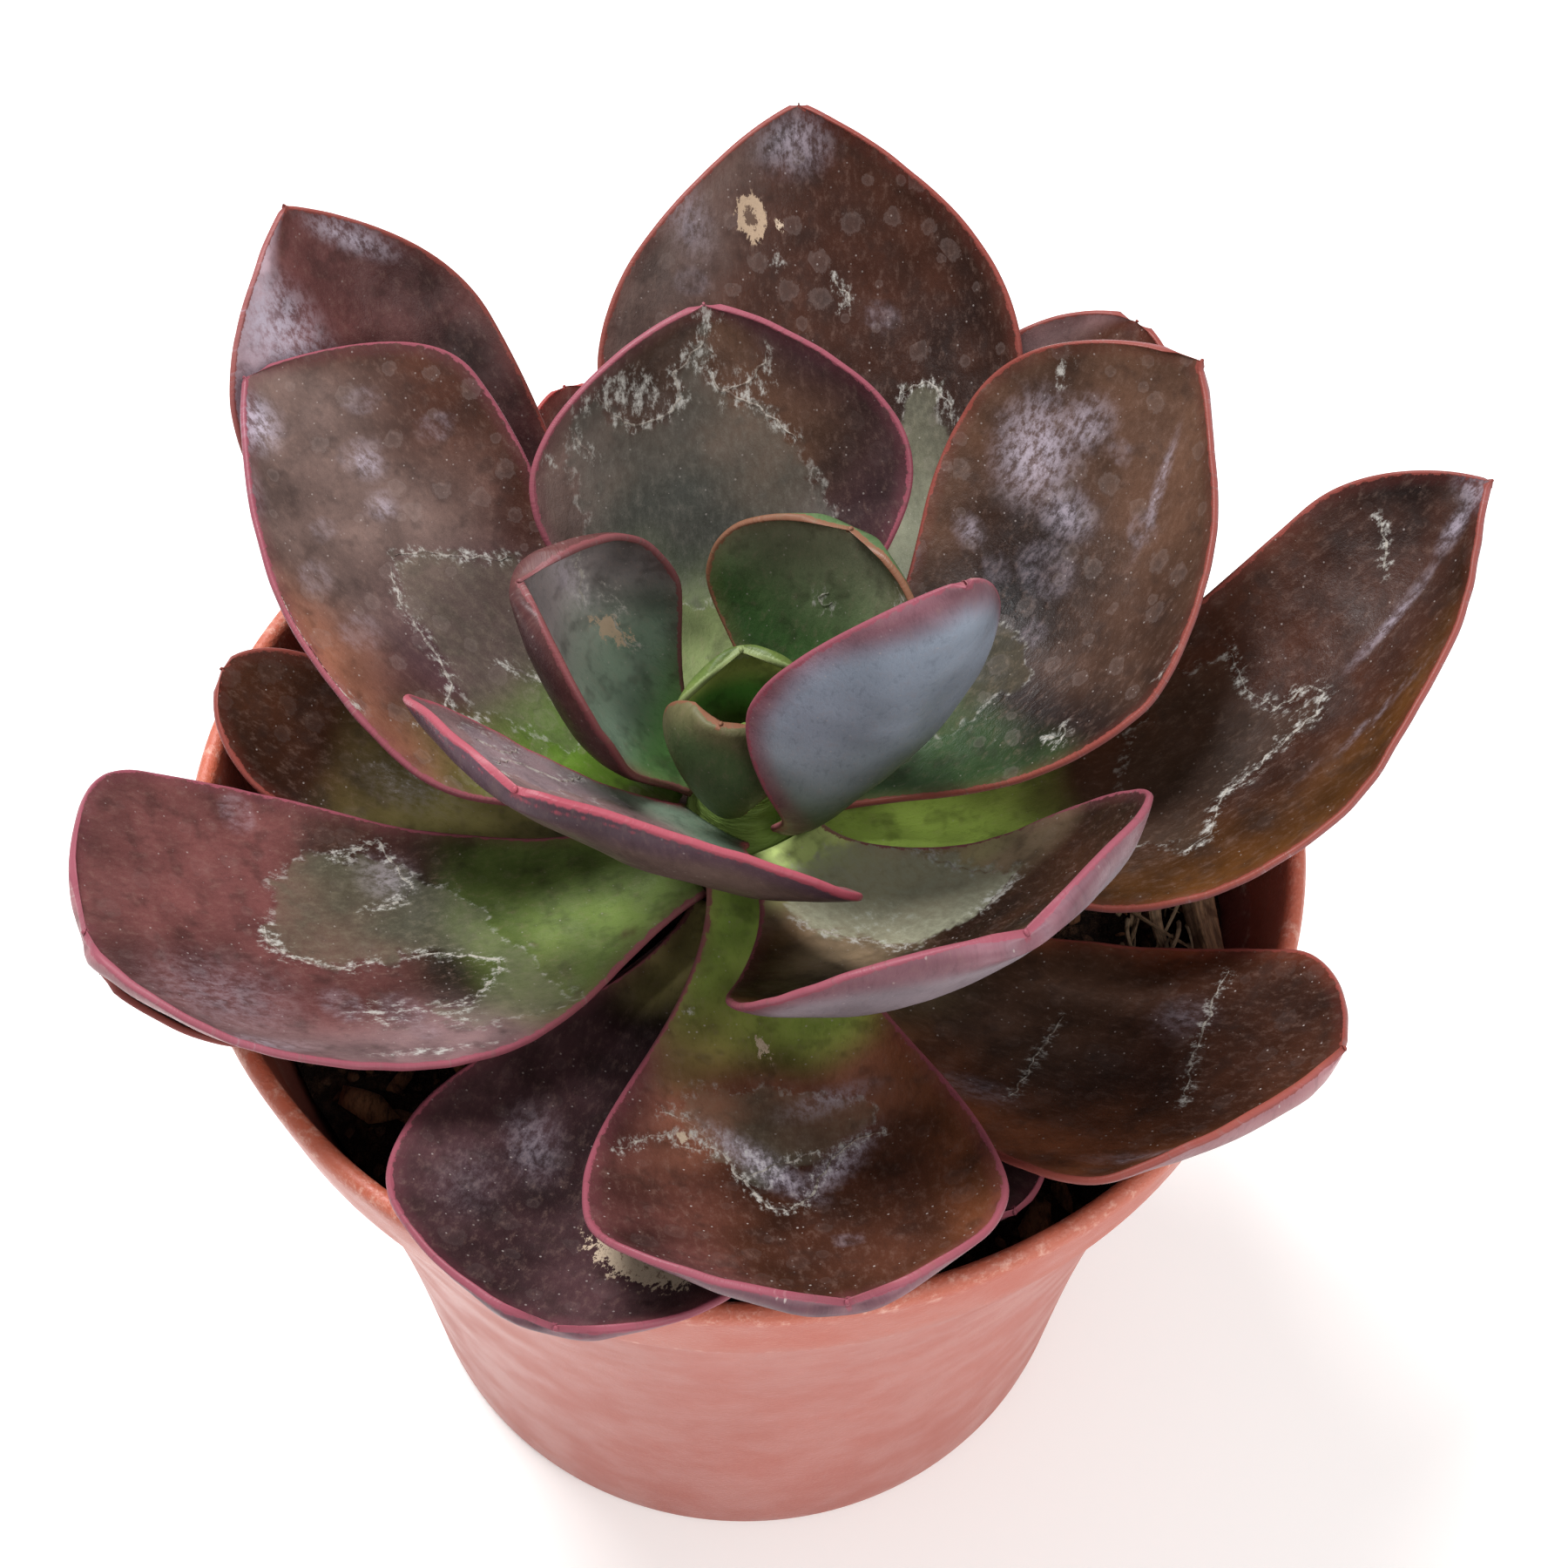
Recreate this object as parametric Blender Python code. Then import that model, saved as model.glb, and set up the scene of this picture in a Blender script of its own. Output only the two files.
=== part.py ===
"""Potted echeveria: a rosette of fleshy leaves on a short stem, in a round nursery pot.

Lengths are millimetres until the meshes are made. The pot stands on z = 0 with its axis on the Z axis.
Azimuths are degrees about that axis, 0 at +X and 90 at +Y. The front of the plant faces -Y.
"""

import math
from dataclasses import dataclass

import bmesh
import bpy
import numpy as np

MM = 0.001
GAP = 0.3                      # between pieces that touch on the real plant

# Pot
RIM_RADIUS = 60.0
POT_HEIGHT = 97.0
BASE_RADIUS = 43.3
COLLAR_FOOT = 84.0             # where the plain wall ends and the collar begins
WALL_TAPER = 0.09              # growth of the wall radius for each unit of height
WALL_FLARE = 6.5               # further growth that the flare reaches at the collar
WALL = 1.8
FLOOR_TOP = 4.0
RECESS_TOP = 2.0
PAD_RADIUS = 11.0
FOOT_RING_INNER = 39.0
FOOT_RING_OUTER = 42.6
DRAIN_HOLES = 6
DRAIN_RADIUS = 5.0
DRAIN_CIRCLE = 25.0
DRAIN_SIDES = 12
SIDES = 48
WALL_LEVELS = (14.0, 28.0, 42.0, 56.0, 70.0, 84.0)

# Soil
SOIL_TOP = 80.3
SOIL_RINGS = 8
SOIL_RELIEF = 0.7
SOIL_EDGE_DROP = 1.2           # the mix has settled a little at the pot wall
CHUNKS = [(-40.0, -29.0, 5.5, 2.2), (-31.0, -35.0, 4.5, 1.4), (30.0, -42.0, 5.0, 1.6),
          (48.0, 12.0, 4.5, 1.2), (12.0, 46.0, 5.0, 1.5)]      # x, y, radius, height

# Stem
STEM_FOOT = 62.0
STEM_SIDES = 24
STEM_PROFILE = [(7.4, 80.0), (6.8, 96.0), (5.0, 102.0), (3.2, 106.0), (1.8, 109.0)]   # radius, height

# Dry stalk
STALK_PATH = [(45.0, 12.0), (48.5, 5.0), (50.0, -2.5), (50.5, -8.0), (52.0, -14.0)]
STALK_RADII = (1.5, 1.9, 2.0, 1.8, 1.2)
STRAND_PATH = [(47.6, 5.5), (45.6, 0.0), (45.2, -5.0), (46.2, -10.0)]
STRAND_RADII = (0.9, 0.9, 0.8, 0.6)
STALK_LIFT = 1.2               # highest chunk or hump of soil under the stalk

# Leaf blade
STATIONS = 9                   # spans along a leaf
ACROSS = 6                     # spans across a leaf
EDGE = 1.0                     # thickness at the margin
ROOT_GAP = 0.4                 # between a leaf's root and the stem


@dataclass(frozen=True)
class Leaf:
    """One leaf. Each half of the blade has a half width, a cup angle, a point, 0.5 round to 1 sharp, and
    sometimes its own widest place.
    """
    name: str
    root: tuple                # height on the stem, azimuth
    tip: tuple                 # reach from the pot axis, azimuth, height
    left: tuple                # the half on the counter-clockwise side
    right: tuple
    widest: float = 0.66       # where along the leaf it is widest
    neck: float = 4.8          # half width at the root
    sag: float = 0.12          # how far the midrib hangs below its chord
    roll: float = 0.0          # turn about the midrib, left side up
    thick: float = 3.4         # thickness at the midrib near the root


LEAVES = [
    Leaf("leaf_withered", (83.5, -123), (45, -133, 83.8), (4.4, 60, 0.7), (4.4, 70, 0.7),
         widest=0.6, sag=0.02, neck=2.4, thick=1.4),
    Leaf("leaf_low_left", (84.2, -163), (69, -157, 105.2), (12.5, 16, 0.5), (3.6, 20, 0.5),
         widest=0.75, sag=0.07, thick=2.0, neck=2.4),
    Leaf("leaf_low_left_back", (87.4, 167), (58.5, 167, 103), (12, 12, 0.5), (7, 15, 0.5),
         widest=0.7, sag=0.1, roll=-9, neck=3.2, thick=2.3),
    Leaf("leaf_low_front_right", (84.1, -62), (54, -61, 94.8), (9, 10, 0.5), (12, 20, 0.5),
         widest=0.7, sag=0.09, thick=2.1, neck=3.0),
    Leaf("leaf_low_right_back", (88.0, 52), (72, 52, 114), (15, 32, 0.6), (15, 32, 0.6), widest=0.7),
    Leaf("leaf_low_front_left", (87.8, -105), (66, -105, 104), (17, 20, 0.5), (22, 20, 0.5),
         widest=0.7, sag=0.08, neck=4.2),
    Leaf("leaf_low_back", (84.8, 111), (62, 111, 101.5), (10, 25, 0.6), (13, 25, 0.6),
         sag=0.08, thick=2.4, neck=3.8),
    Leaf("leaf_low_right", (89.9, -36), (68, -33, 109), (13.5, 6, 0.8, 0.8), (27, 33, 0.65, 0.77),
         sag=0.2, roll=-3, neck=4.4),
    Leaf("leaf_outer_left_back", (89.8, 131), (72.4, 134, 134), (19.2, 10, 0.85), (15.2, 20, 0.95),
         sag=0.23, widest=0.73, neck=3.9, thick=3.1),
    Leaf("leaf_outer_left", (92.2, -153), (69.2, -157, 112.6), (22.5, 32, 0.5, 0.55), (23, 11, 0.45, 0.82),
         sag=0.14, roll=5, neck=6.2),
    Leaf("leaf_outer_front", (94.0, -82), (65, -82, 111), (17.5, 26, 0.5), (23, 26, 0.5),
         widest=0.78, sag=0.12, neck=5.6),
    Leaf("leaf_outer_back", (91.4, 80), (75, 86, 130), (24.2, 31, 0.84), (26.2, 32, 0.88),
         widest=0.61, neck=4.0),
    Leaf("leaf_outer_right", (92.8, 4), (80.4, 16, 124.7), (12.3, 20, 0.84, 0.8), (27, 47, 1.15, 0.5),
         sag=0.14, roll=5, neck=4.6),
    Leaf("leaf_mid_left_back", (97.0, 157), (64.8, 146.5, 124.6), (19.8, 28, 1.0, 0.36), (21.5, 12, 0.68, 0.78),
         sag=0.04, roll=-1, neck=4.2),
    Leaf("leaf_mid_right_back", (96.8, 24), (61.2, 38, 126.4), (22.8, 21, 0.53, 0.7), (20.4, 33, 1.2, 0.49),
         sag=0.15, roll=-6.5),
    Leaf("leaf_mid_front_right", (98.0, -58), (46, -58, 132), (24.5, 30, 0.5), (22.5, 30, 0.5), sag=0.2),
    Leaf("leaf_mid_back", (98.8, 96), (42, 97, 130), (21.5, 32, 0.8), (21.5, 32, 0.8),
         sag=0.1, widest=0.62),
    Leaf("leaf_mid_front_left", (99.6, -126), (34, -127, 137), (28, 21, 0.8, 0.63), (19.7, 17, 0.46, 0.71),
         sag=0.04, roll=5, neck=4.6),
    Leaf("leaf_inner_right", (100.6, -28), (21.5, -25, 144), (12, 42, 0.8), (16, 55, 0.8),
         widest=0.5, sag=0.08, roll=-35, neck=4.6, thick=3.0),
    Leaf("leaf_inner_left", (101.0, 168), (23, 168, 127.5), (13.5, 55, 0.5), (16.5, 95, 0.5),
         widest=0.6, roll=8, neck=3.6, thick=3.0),
    Leaf("leaf_inner_back", (102.9, 56), (18, 56, 124), (14, 32, 0.5), (13.5, 32, 0.5),
         widest=0.62, neck=3.4, thick=2.6),
    Leaf("leaf_heart_front", (102.8, -112), (7.0, -112, 119.5), (6.8, 55, 0.5), (8.4, 55, 0.5),
         widest=0.62, neck=1.9, thick=1.8),
    Leaf("leaf_heart_right", (103.5, -21), (5.3, -22, 116.5), (5.0, 55, 0.5), (4.9, 55, 0.5),
         widest=0.62, neck=1.5, thick=1.6),
    Leaf("leaf_heart_back", (104.2, 95), (5.8, 98, 115.5), (8.5, 60, 0.5), (8.0, 60, 0.5),
         widest=0.62, neck=2.2, thick=1.8),
]

# Colours, linear
TERRACOTTA = (0.50, 0.13, 0.08)
SOIL_BROWN = (0.020, 0.014, 0.010)
STEM_BROWN = (0.10, 0.07, 0.035)
STALK_TAN = (0.20, 0.11, 0.05)
LEAF_MAROON = (0.075, 0.030, 0.028)
LEAF_GREEN = (0.060, 0.090, 0.035)
LEAF_WITHERED = (0.12, 0.06, 0.09)


def clear_scene():
    for obj in list(bpy.data.objects):
        bpy.data.objects.remove(obj, do_unlink=True)


def material(name, color, roughness):
    found = bpy.data.materials.get(name)
    if found:
        return found
    made = bpy.data.materials.new(name)
    made.use_nodes = True
    shader = made.node_tree.nodes["Principled BSDF"]
    shader.inputs["Base Color"].default_value = (*color, 1.0)
    shader.inputs["Roughness"].default_value = roughness
    return made


def place(name, mesh, surface, sharp_angle=40.0):
    """An object of the mesh, shaded smooth except over sharp edges."""
    mesh.materials.append(surface)
    mesh.shade_smooth()
    mesh.set_sharp_from_angle(angle=math.radians(sharp_angle))
    obj = bpy.data.objects.new(name, mesh)
    bpy.context.scene.collection.objects.link(obj)
    return obj


def solid_mesh(name, points, faces):
    mesh = bpy.data.meshes.new(name)
    mesh.from_pydata([tuple(float(value) * MM for value in point) for point in points], [], faces)
    mesh.validate()
    return mesh


def turned_mesh(name, profile, sides):
    """Solid of revolution of a profile of (radius, height) points that starts and ends on the axis."""
    bm = bmesh.new()
    corners = [bm.verts.new((radius * MM, 0.0, z * MM)) for radius, z in profile]
    edges = [bm.edges.new(pair) for pair in zip(corners, corners[1:])]
    bmesh.ops.spin(bm, geom=corners + edges, cent=(0, 0, 0), axis=(0, 0, 1), dvec=(0, 0, 0),
                   angle=2 * math.pi, steps=sides, use_merge=True, use_duplicate=False)
    bmesh.ops.remove_doubles(bm, verts=bm.verts, dist=0.00001)
    bmesh.ops.recalc_face_normals(bm, faces=bm.faces)
    mesh = bpy.data.meshes.new(name)
    bm.to_mesh(mesh)
    bm.free()
    return mesh


def smooth(x):
    x = np.clip(x, 0.0, 1.0)
    return x * x * (3.0 - 2.0 * x)


def polar(reach, azimuth, z):
    angle = math.radians(azimuth)
    return np.array([reach * math.cos(angle), reach * math.sin(angle), z])


# Pot, soil, stem and dry stalk

def wall_radius(z):
    """Outer radius of the plain wall: a straight taper with a flare toward the collar."""
    return BASE_RADIUS + WALL_TAPER * z + WALL_FLARE * (z / COLLAR_FOOT) ** 3


def inner_wall(inset):
    """The inside of the pot below its collar, set in by the inset, as (radius, height) from the top."""
    return [(wall_radius(z) - WALL - inset, z) for z in reversed(WALL_LEVELS)]


def pot_profile():
    underside = [(0.0, 0.0), (PAD_RADIUS, 0.0), (PAD_RADIUS + 1.0, RECESS_TOP),
                 (FOOT_RING_INNER - 1.0, RECESS_TOP), (FOOT_RING_INNER, 0.0), (FOOT_RING_OUTER, 0.0),
                 (BASE_RADIUS, 0.7)]
    outside = [(wall_radius(z), z) for z in WALL_LEVELS]
    collar = [(RIM_RADIUS - 2.1, 84.6), (RIM_RADIUS - 0.8, 91.0), (RIM_RADIUS, 95.6)]
    rim = [(RIM_RADIUS - 0.3, 96.6), (RIM_RADIUS - 1.0, POT_HEIGHT), (RIM_RADIUS - 1.8, 96.8),
           (RIM_RADIUS - 2.2, 96.2)]
    inside = [(RIM_RADIUS - 3.3, 90.0)] + inner_wall(0.0)
    floor = [(wall_radius(FLOOR_TOP) - WALL - 1.5, FLOOR_TOP + 1.0),
             (wall_radius(FLOOR_TOP) - WALL - 3.0, FLOOR_TOP), (0.0, FLOOR_TOP)]
    return underside + outside + collar + rim + inside + floor


def drain_cutter():
    """Upright cylinders through the recess of the pot's floor."""
    bm = bmesh.new()
    for index in range(DRAIN_HOLES):
        x, y, z = polar(DRAIN_CIRCLE, 360.0 * (index + 0.5) / DRAIN_HOLES, 0.5 * FLOOR_TOP) * MM
        made = bmesh.ops.create_cone(bm, cap_ends=True, segments=DRAIN_SIDES, radius1=DRAIN_RADIUS * MM,
                                     radius2=DRAIN_RADIUS * MM, depth=3.0 * FLOOR_TOP * MM)
        bmesh.ops.translate(bm, verts=made["verts"], vec=(x, y, z))
    mesh = bpy.data.meshes.new("drain_cutter")
    bm.to_mesh(mesh)
    bm.free()
    return hidden_tool("drain_cutter", mesh)


def hidden_tool(name, mesh):
    tool = bpy.data.objects.new(name, mesh)
    bpy.context.scene.collection.objects.link(tool)
    tool.hide_render = True
    tool.display_type = "WIRE"
    return tool


def add_pot():
    pot = place("pot", turned_mesh("pot", pot_profile(), SIDES), material("terracotta", TERRACOTTA, 0.5))
    drains = pot.modifiers.new("drains", "BOOLEAN")
    drains.operation = "DIFFERENCE"
    drains.object = drain_cutter()


def soil_height(x, y):
    """Height of the top of the soil: soft humps, lower at the pot wall, with a few bark chunks."""
    reach = math.hypot(x, y) / RIM_RADIUS
    humps = math.sin(0.23 * x + 0.9) * math.cos(0.19 * y - 0.4) + 0.5 * math.sin(0.41 * y + 0.31 * x)
    height = SOIL_TOP + SOIL_RELIEF * humps - SOIL_EDGE_DROP * reach ** 4
    for chunk_x, chunk_y, radius, rise in CHUNKS:
        apart = math.hypot(x - chunk_x, y - chunk_y) / radius
        height += rise * max(0.0, 1.0 - apart ** 2)
    return height


def add_soil():
    hole = STEM_PROFILE[0][0] + GAP
    edge = wall_radius(SOIL_TOP - SOIL_EDGE_DROP - 2.0 * SOIL_RELIEF) - WALL - GAP
    hollow = [(0.0, STEM_FOOT - GAP), (hole, STEM_FOOT - GAP)]
    top = [(hole + (edge - hole) * ring / SOIL_RINGS, SOIL_TOP) for ring in range(SOIL_RINGS + 1)]
    side = inner_wall(GAP)[1:]
    floor = [(wall_radius(FLOOR_TOP) - WALL - 1.5 - GAP, FLOOR_TOP + 1.0 + GAP),
             (wall_radius(FLOOR_TOP) - WALL - 3.0 - GAP, FLOOR_TOP + GAP), (0.0, FLOOR_TOP + GAP)]
    mesh = turned_mesh("soil", hollow + top + side + floor, SIDES)
    for vertex in mesh.vertices:
        if abs(vertex.co.z / MM - SOIL_TOP) < 0.01:
            vertex.co.z = soil_height(vertex.co.x / MM, vertex.co.y / MM) * MM
    place("soil", mesh, material("soil", SOIL_BROWN, 0.95), sharp_angle=60.0)


def add_stem():
    foot_radius = STEM_PROFILE[0][0]
    profile = [(0.0, STEM_FOOT), (foot_radius, STEM_FOOT)] + STEM_PROFILE + [(0.0, STEM_PROFILE[-1][1])]
    place("stem", turned_mesh("stem", profile, STEM_SIDES), material("stem", STEM_BROWN, 0.8))


def tube_mesh(name, path, radii, sides):
    """A tapered round tube along a path, closed at both ends."""
    path = np.array(path, dtype=float)
    along = np.gradient(path, axis=0)
    along /= np.linalg.norm(along, axis=1)[:, None]
    points = []
    for centre, way, radius in zip(path, along, radii):
        level = np.cross(way, (0.0, 0.0, 1.0))
        level /= np.linalg.norm(level)
        upward = np.cross(level, way)
        for k in range(sides):
            turn = 2 * math.pi * k / sides
            points.append(centre + radius * (math.cos(turn) * level + math.sin(turn) * upward))
    faces = [tuple(range(sides))]
    for i in range(len(path) - 1):
        for k in range(sides):
            here, beside = i * sides + k, i * sides + (k + 1) % sides
            faces.append((here, here + sides, beside + sides, beside))
    faces.append(tuple(reversed([(len(path) - 1) * sides + k for k in range(sides)])))
    mesh = solid_mesh(name, points, faces)
    bm = bmesh.new()
    bm.from_mesh(mesh)
    bmesh.ops.recalc_face_normals(bm, faces=bm.faces)
    bm.to_mesh(mesh)
    bm.free()
    return mesh


def add_dry_stalk():
    """The forked stalk, laid on the soil."""
    def laid(path, radii):
        return [(x, y, SOIL_TOP + STALK_LIFT + GAP + radius) for (x, y), radius in zip(path, radii)]

    stalk = place("dry_stalk", tube_mesh("dry_stalk", laid(STALK_PATH, STALK_RADII), STALK_RADII, 8),
                  material("dry_stalk", STALK_TAN, 0.9))
    strand = hidden_tool("strand", tube_mesh("strand", laid(STRAND_PATH, STRAND_RADII), STRAND_RADII, 6))
    fork = stalk.modifiers.new("fork", "BOOLEAN")
    fork.operation = "UNION"
    fork.object = strand


# Leaves

def stem_radius(z):
    heights = [height for radius, height in STEM_PROFILE]
    radii = [radius for radius, height in STEM_PROFILE]
    return float(np.interp(z, heights, radii))


def midrib(leaf, s):
    """Points, unit tangents and heading of the midrib at the shares s of its length."""
    root_z, root_azimuth = leaf.root
    end = polar(*leaf.tip)
    chord = end - polar(stem_radius(root_z), root_azimuth, root_z)
    climb = math.atan2(chord[2], math.hypot(chord[0], chord[1])) - 0.9 * math.atan(4.0 * leaf.sag)
    heading = math.radians(root_azimuth)
    low_edge = stem_radius(root_z - leaf.thick * math.cos(climb)) - leaf.thick * math.sin(climb)
    start = polar(max(stem_radius(root_z), low_edge) + ROOT_GAP, root_azimuth, root_z)
    chord = end - start
    length = np.linalg.norm(chord)
    first_way = np.array([math.cos(climb) * math.cos(heading), math.cos(climb) * math.sin(heading),
                          math.sin(climb)])
    knee = start + 0.5 * length * first_way
    u = np.linspace(0.0, 1.0, 201)[:, None]
    line = (1 - u) ** 2 * start + 2 * u * (1 - u) * knee + u ** 2 * end
    slope = 2 * (1 - u) * (knee - start) + 2 * u * (end - knee)
    run = np.concatenate([[0.0], np.cumsum(np.linalg.norm(np.diff(line, axis=0), axis=1))])
    share = run / run[-1]
    points = np.stack([np.interp(s, share, line[:, i]) for i in range(3)], axis=-1)
    tangents = np.stack([np.interp(s, share, slope[:, i]) for i in range(3)], axis=-1)
    tangents /= np.linalg.norm(tangents, axis=1)[:, None]
    far = math.hypot(chord[0], chord[1]) > 4.0
    end_azimuth = math.degrees(math.atan2(chord[1], chord[0])) if far else leaf.tip[1]
    turn = (end_azimuth - root_azimuth + 180.0) % 360.0 - 180.0
    return points, tangents, np.radians(root_azimuth + 1.6 * turn * s)


def half_width(leaf, half, s):
    """Half width of one side of the blade at the shares s."""
    width, cup, point = half[:3]
    widest = half[3] if len(half) > 3 else leaf.widest
    power = max(2.0, 3.6 - 2.0 * point)
    rise = np.sin(0.5 * math.pi * np.clip(s / widest, 0, 1)) ** 1.7
    beyond = np.clip((s - widest) / (1.0 - widest), 0, 1)
    body = leaf.neck + (width - leaf.neck) * rise
    end = width * (1.0 - beyond ** power) ** point
    return np.maximum(np.where(s < widest, body, end), 0.5)


def blade(leaf, stations, across):
    """Upper and lower faces of a leaf as grids of points."""
    s = 1.0 - (1.0 - np.linspace(0.0, 1.0, stations + 1)) ** 1.35
    t = np.linspace(-1.0, 1.0, across + 1)
    points, tangents, heading = midrib(leaf, s)
    level = np.stack([-np.sin(heading), np.cos(heading), 0 * heading], axis=-1)
    side = level - (level * tangents).sum(axis=1)[:, None] * tangents
    side /= np.linalg.norm(side, axis=1)[:, None]
    normal = np.cross(tangents, side)
    roll = math.radians(leaf.roll) * smooth(s / 0.5)[:, None]
    left_way = side * np.cos(roll) + normal * np.sin(roll)
    up_way = normal * np.cos(roll) - side * np.sin(roll)
    upper = np.zeros((stations + 1, across + 1, 3))
    for j, share in enumerate(t):
        half = leaf.left if share > 0 else leaf.right
        reach = half_width(leaf, half, s)
        cup = np.radians(half[1]) * (0.5 + 0.5 * smooth(s / 0.6))
        out = np.sin(cup * abs(share)) / cup * reach * np.sign(share)
        lift = (1.0 - np.cos(cup * abs(share))) / cup * reach
        upper[:, j] = points + left_way * out[:, None] + up_way * lift[:, None]
    facing = np.cross(np.gradient(upper, axis=0), np.gradient(upper, axis=1))
    facing /= np.maximum(np.linalg.norm(facing, axis=-1, keepdims=True), 1e-9)
    facing[-1] = facing[-2, across // 2]      # the blade is too narrow at its tip to give a normal there
    width = 0.5 * (half_width(leaf, leaf.left, s) + half_width(leaf, leaf.right, s))
    middle = leaf.thick * (1.0 - 0.4 * s) * np.minimum(1.0, width / (0.35 * width.max()))
    depth = EDGE + np.clip(middle - EDGE, 0, None)[:, None] * (1.0 - np.abs(t) ** 2.2)[None, :]
    lower = upper - facing * depth[..., None]
    return upper, lower


def blade_faces(stations, across):
    """Triangles of a blade: the upper face, the lower face split alike, and the edge between them."""
    row = across + 1
    under = (stations + 1) * row
    faces = []
    for i in range(stations):
        for j in range(across):
            a, b, c, d = i * row + j, (i + 1) * row + j, (i + 1) * row + j + 1, i * row + j + 1
            faces += [(a, b, c), (a, c, d)]
            faces += [(under + a, under + c, under + b), (under + a, under + d, under + c)]
    rim = [(i * row, (i + 1) * row) for i in range(stations)]
    rim += [(stations * row + j, stations * row + j + 1) for j in range(across)]
    rim += [((i + 1) * row + across, i * row + across) for i in range(stations)]
    rim += [(j + 1, j) for j in range(across)]
    for a, b in rim:
        faces += [(a, under + a, under + b), (a, under + b, b)]
    return faces


def leaf_material(leaf):
    if leaf.name == "leaf_withered":
        return material("leaf_withered", LEAF_WITHERED, 0.7)
    if "inner" in leaf.name or "heart" in leaf.name:
        return material("leaf_green", LEAF_GREEN, 0.45)
    return material("leaf_maroon", LEAF_MAROON, 0.45)


def add_leaf(leaf):
    upper, lower = blade(leaf, STATIONS, ACROSS)
    points = np.concatenate([upper.reshape(-1, 3), lower.reshape(-1, 3)])
    place(leaf.name, solid_mesh(leaf.name, points, blade_faces(STATIONS, ACROSS)), leaf_material(leaf))


def build():
    clear_scene()
    add_pot()
    add_soil()
    add_stem()
    add_dry_stalk()
    for leaf in LEAVES:
        add_leaf(leaf)


build()
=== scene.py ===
"""Looks of the potted echeveria: waxy leaves, plastic pot, soil, stem and dry stalk, with camera and light.

Leaf shapes are worked out in millimetres by the rule that the solids follow, on a finer grid.
"""

import math
from dataclasses import dataclass

import bmesh
import bpy
import numpy as np
from mathutils import Matrix, Vector, noise


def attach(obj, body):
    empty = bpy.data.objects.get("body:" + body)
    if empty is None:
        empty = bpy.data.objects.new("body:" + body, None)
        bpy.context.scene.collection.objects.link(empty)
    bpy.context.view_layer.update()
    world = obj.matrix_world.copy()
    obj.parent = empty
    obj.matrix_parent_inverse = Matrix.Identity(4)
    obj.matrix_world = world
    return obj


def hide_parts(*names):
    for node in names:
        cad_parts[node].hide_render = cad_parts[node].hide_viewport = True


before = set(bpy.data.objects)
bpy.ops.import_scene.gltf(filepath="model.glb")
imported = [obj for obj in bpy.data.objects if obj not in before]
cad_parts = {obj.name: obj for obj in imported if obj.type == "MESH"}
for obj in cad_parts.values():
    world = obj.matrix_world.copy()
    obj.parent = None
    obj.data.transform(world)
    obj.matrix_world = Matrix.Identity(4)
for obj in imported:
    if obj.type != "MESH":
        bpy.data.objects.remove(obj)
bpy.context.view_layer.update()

MM = 0.001

# Camera: a 60 mm lens that looks down on the rosette, in millimetres
CAMERA_DISTANCE = 281.3         # from the middle of the rim
CAMERA_ELEVATION = 53.96        # degrees
CAMERA_ROLL = 1.46              # degrees
CAMERA_AIM = (3.8, 0.0, 100.4)
CAMERA_LENS = 60.0
SENSOR = 36.0

# Floor and light, in metres
FLOOR_GLOW = 0.2                # keeps the pale floor near white
FLOOR_SIZE = 6.0
LIGHTS_AIM = (0.0, 0.0, 0.10)
LIGHTS = [("window", (-0.3, 0.32, 0.95), 0.45, 15.0, (0.97, 0.98, 1.0)),
          ("front", (0.5, -0.6, 0.65), 0.7, 5.5, (1.0, 0.97, 0.95))]     # place, size, power, colour
SKY = (0.93, 0.96, 1.0, 1.0)
SKY_STRENGTH = 0.5

# Pot
RIM_RADIUS = 60.0
POT_HEIGHT = 97.0
BASE_RADIUS = 43.3
COLLAR_FOOT = 84.0
WALL_TAPER = 0.09
WALL_FLARE = 6.5
WALL = 1.8
FLOOR_TOP = 4.0
RECESS_TOP = 2.0
PAD_RADIUS = 11.0
FOOT_RING_INNER = 39.0
FOOT_RING_OUTER = 42.6
DRAIN_HOLES = 6
DRAIN_RADIUS = 5.0
DRAIN_CIRCLE = 25.0
POT_SIDES = 192
WALL_HEIGHTS = (2.5, COLLAR_FOOT)        # the plain wall outside
INNER_HEIGHTS = (COLLAR_FOOT, 14.0)      # and inside, down to the rounded corner
SHARP_ANGLE = 50.0             # degrees; steeper edges of the pot stay crisp
COLLAR_AND_RIM = [(2.3, 84.45), (2.0, 84.8), (1.6, 87.0), (0.8, 91.0), (0.2, 94.4), (0.0, 95.5),
                  (0.08, 96.2), (0.4, 96.75), (0.9, 97.0), (1.4, 96.95), (1.9, 96.6), (2.15, 96.0),
                  (2.5, 94.0), (3.3, 90.0), (4.1, 86.0)]       # how far inside the rim radius, height

# Soil
SOIL_TOP = 80.3
SOIL_RELIEF = 0.7
SOIL_EDGE_DROP = 1.2
SOIL_GAP = 0.3                 # to the pot and the stem
SOIL_GRAIN = 0.75              # height of the fine unevenness
SOIL_WALL = (72.0, 14.0)       # heights between which the soil follows the pot wall
SOIL_SIDES = 144
SOIL_RINGS = 60
CHUNKS = [(-40.0, -29.0, 5.5, 2.2), (-31.0, -35.0, 4.5, 1.4), (30.0, -42.0, 5.0, 1.6),
          (48.0, 12.0, 4.5, 1.2), (12.0, 46.0, 5.0, 1.5)]      # x, y, radius, height
CRUMBS = 1100
CHIPS = 90                     # the first crumbs are larger chips of bark
CHIP_SIZE = (1.1, 1.9)
CRUMB_SIZE = (0.35, 0.95)
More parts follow.
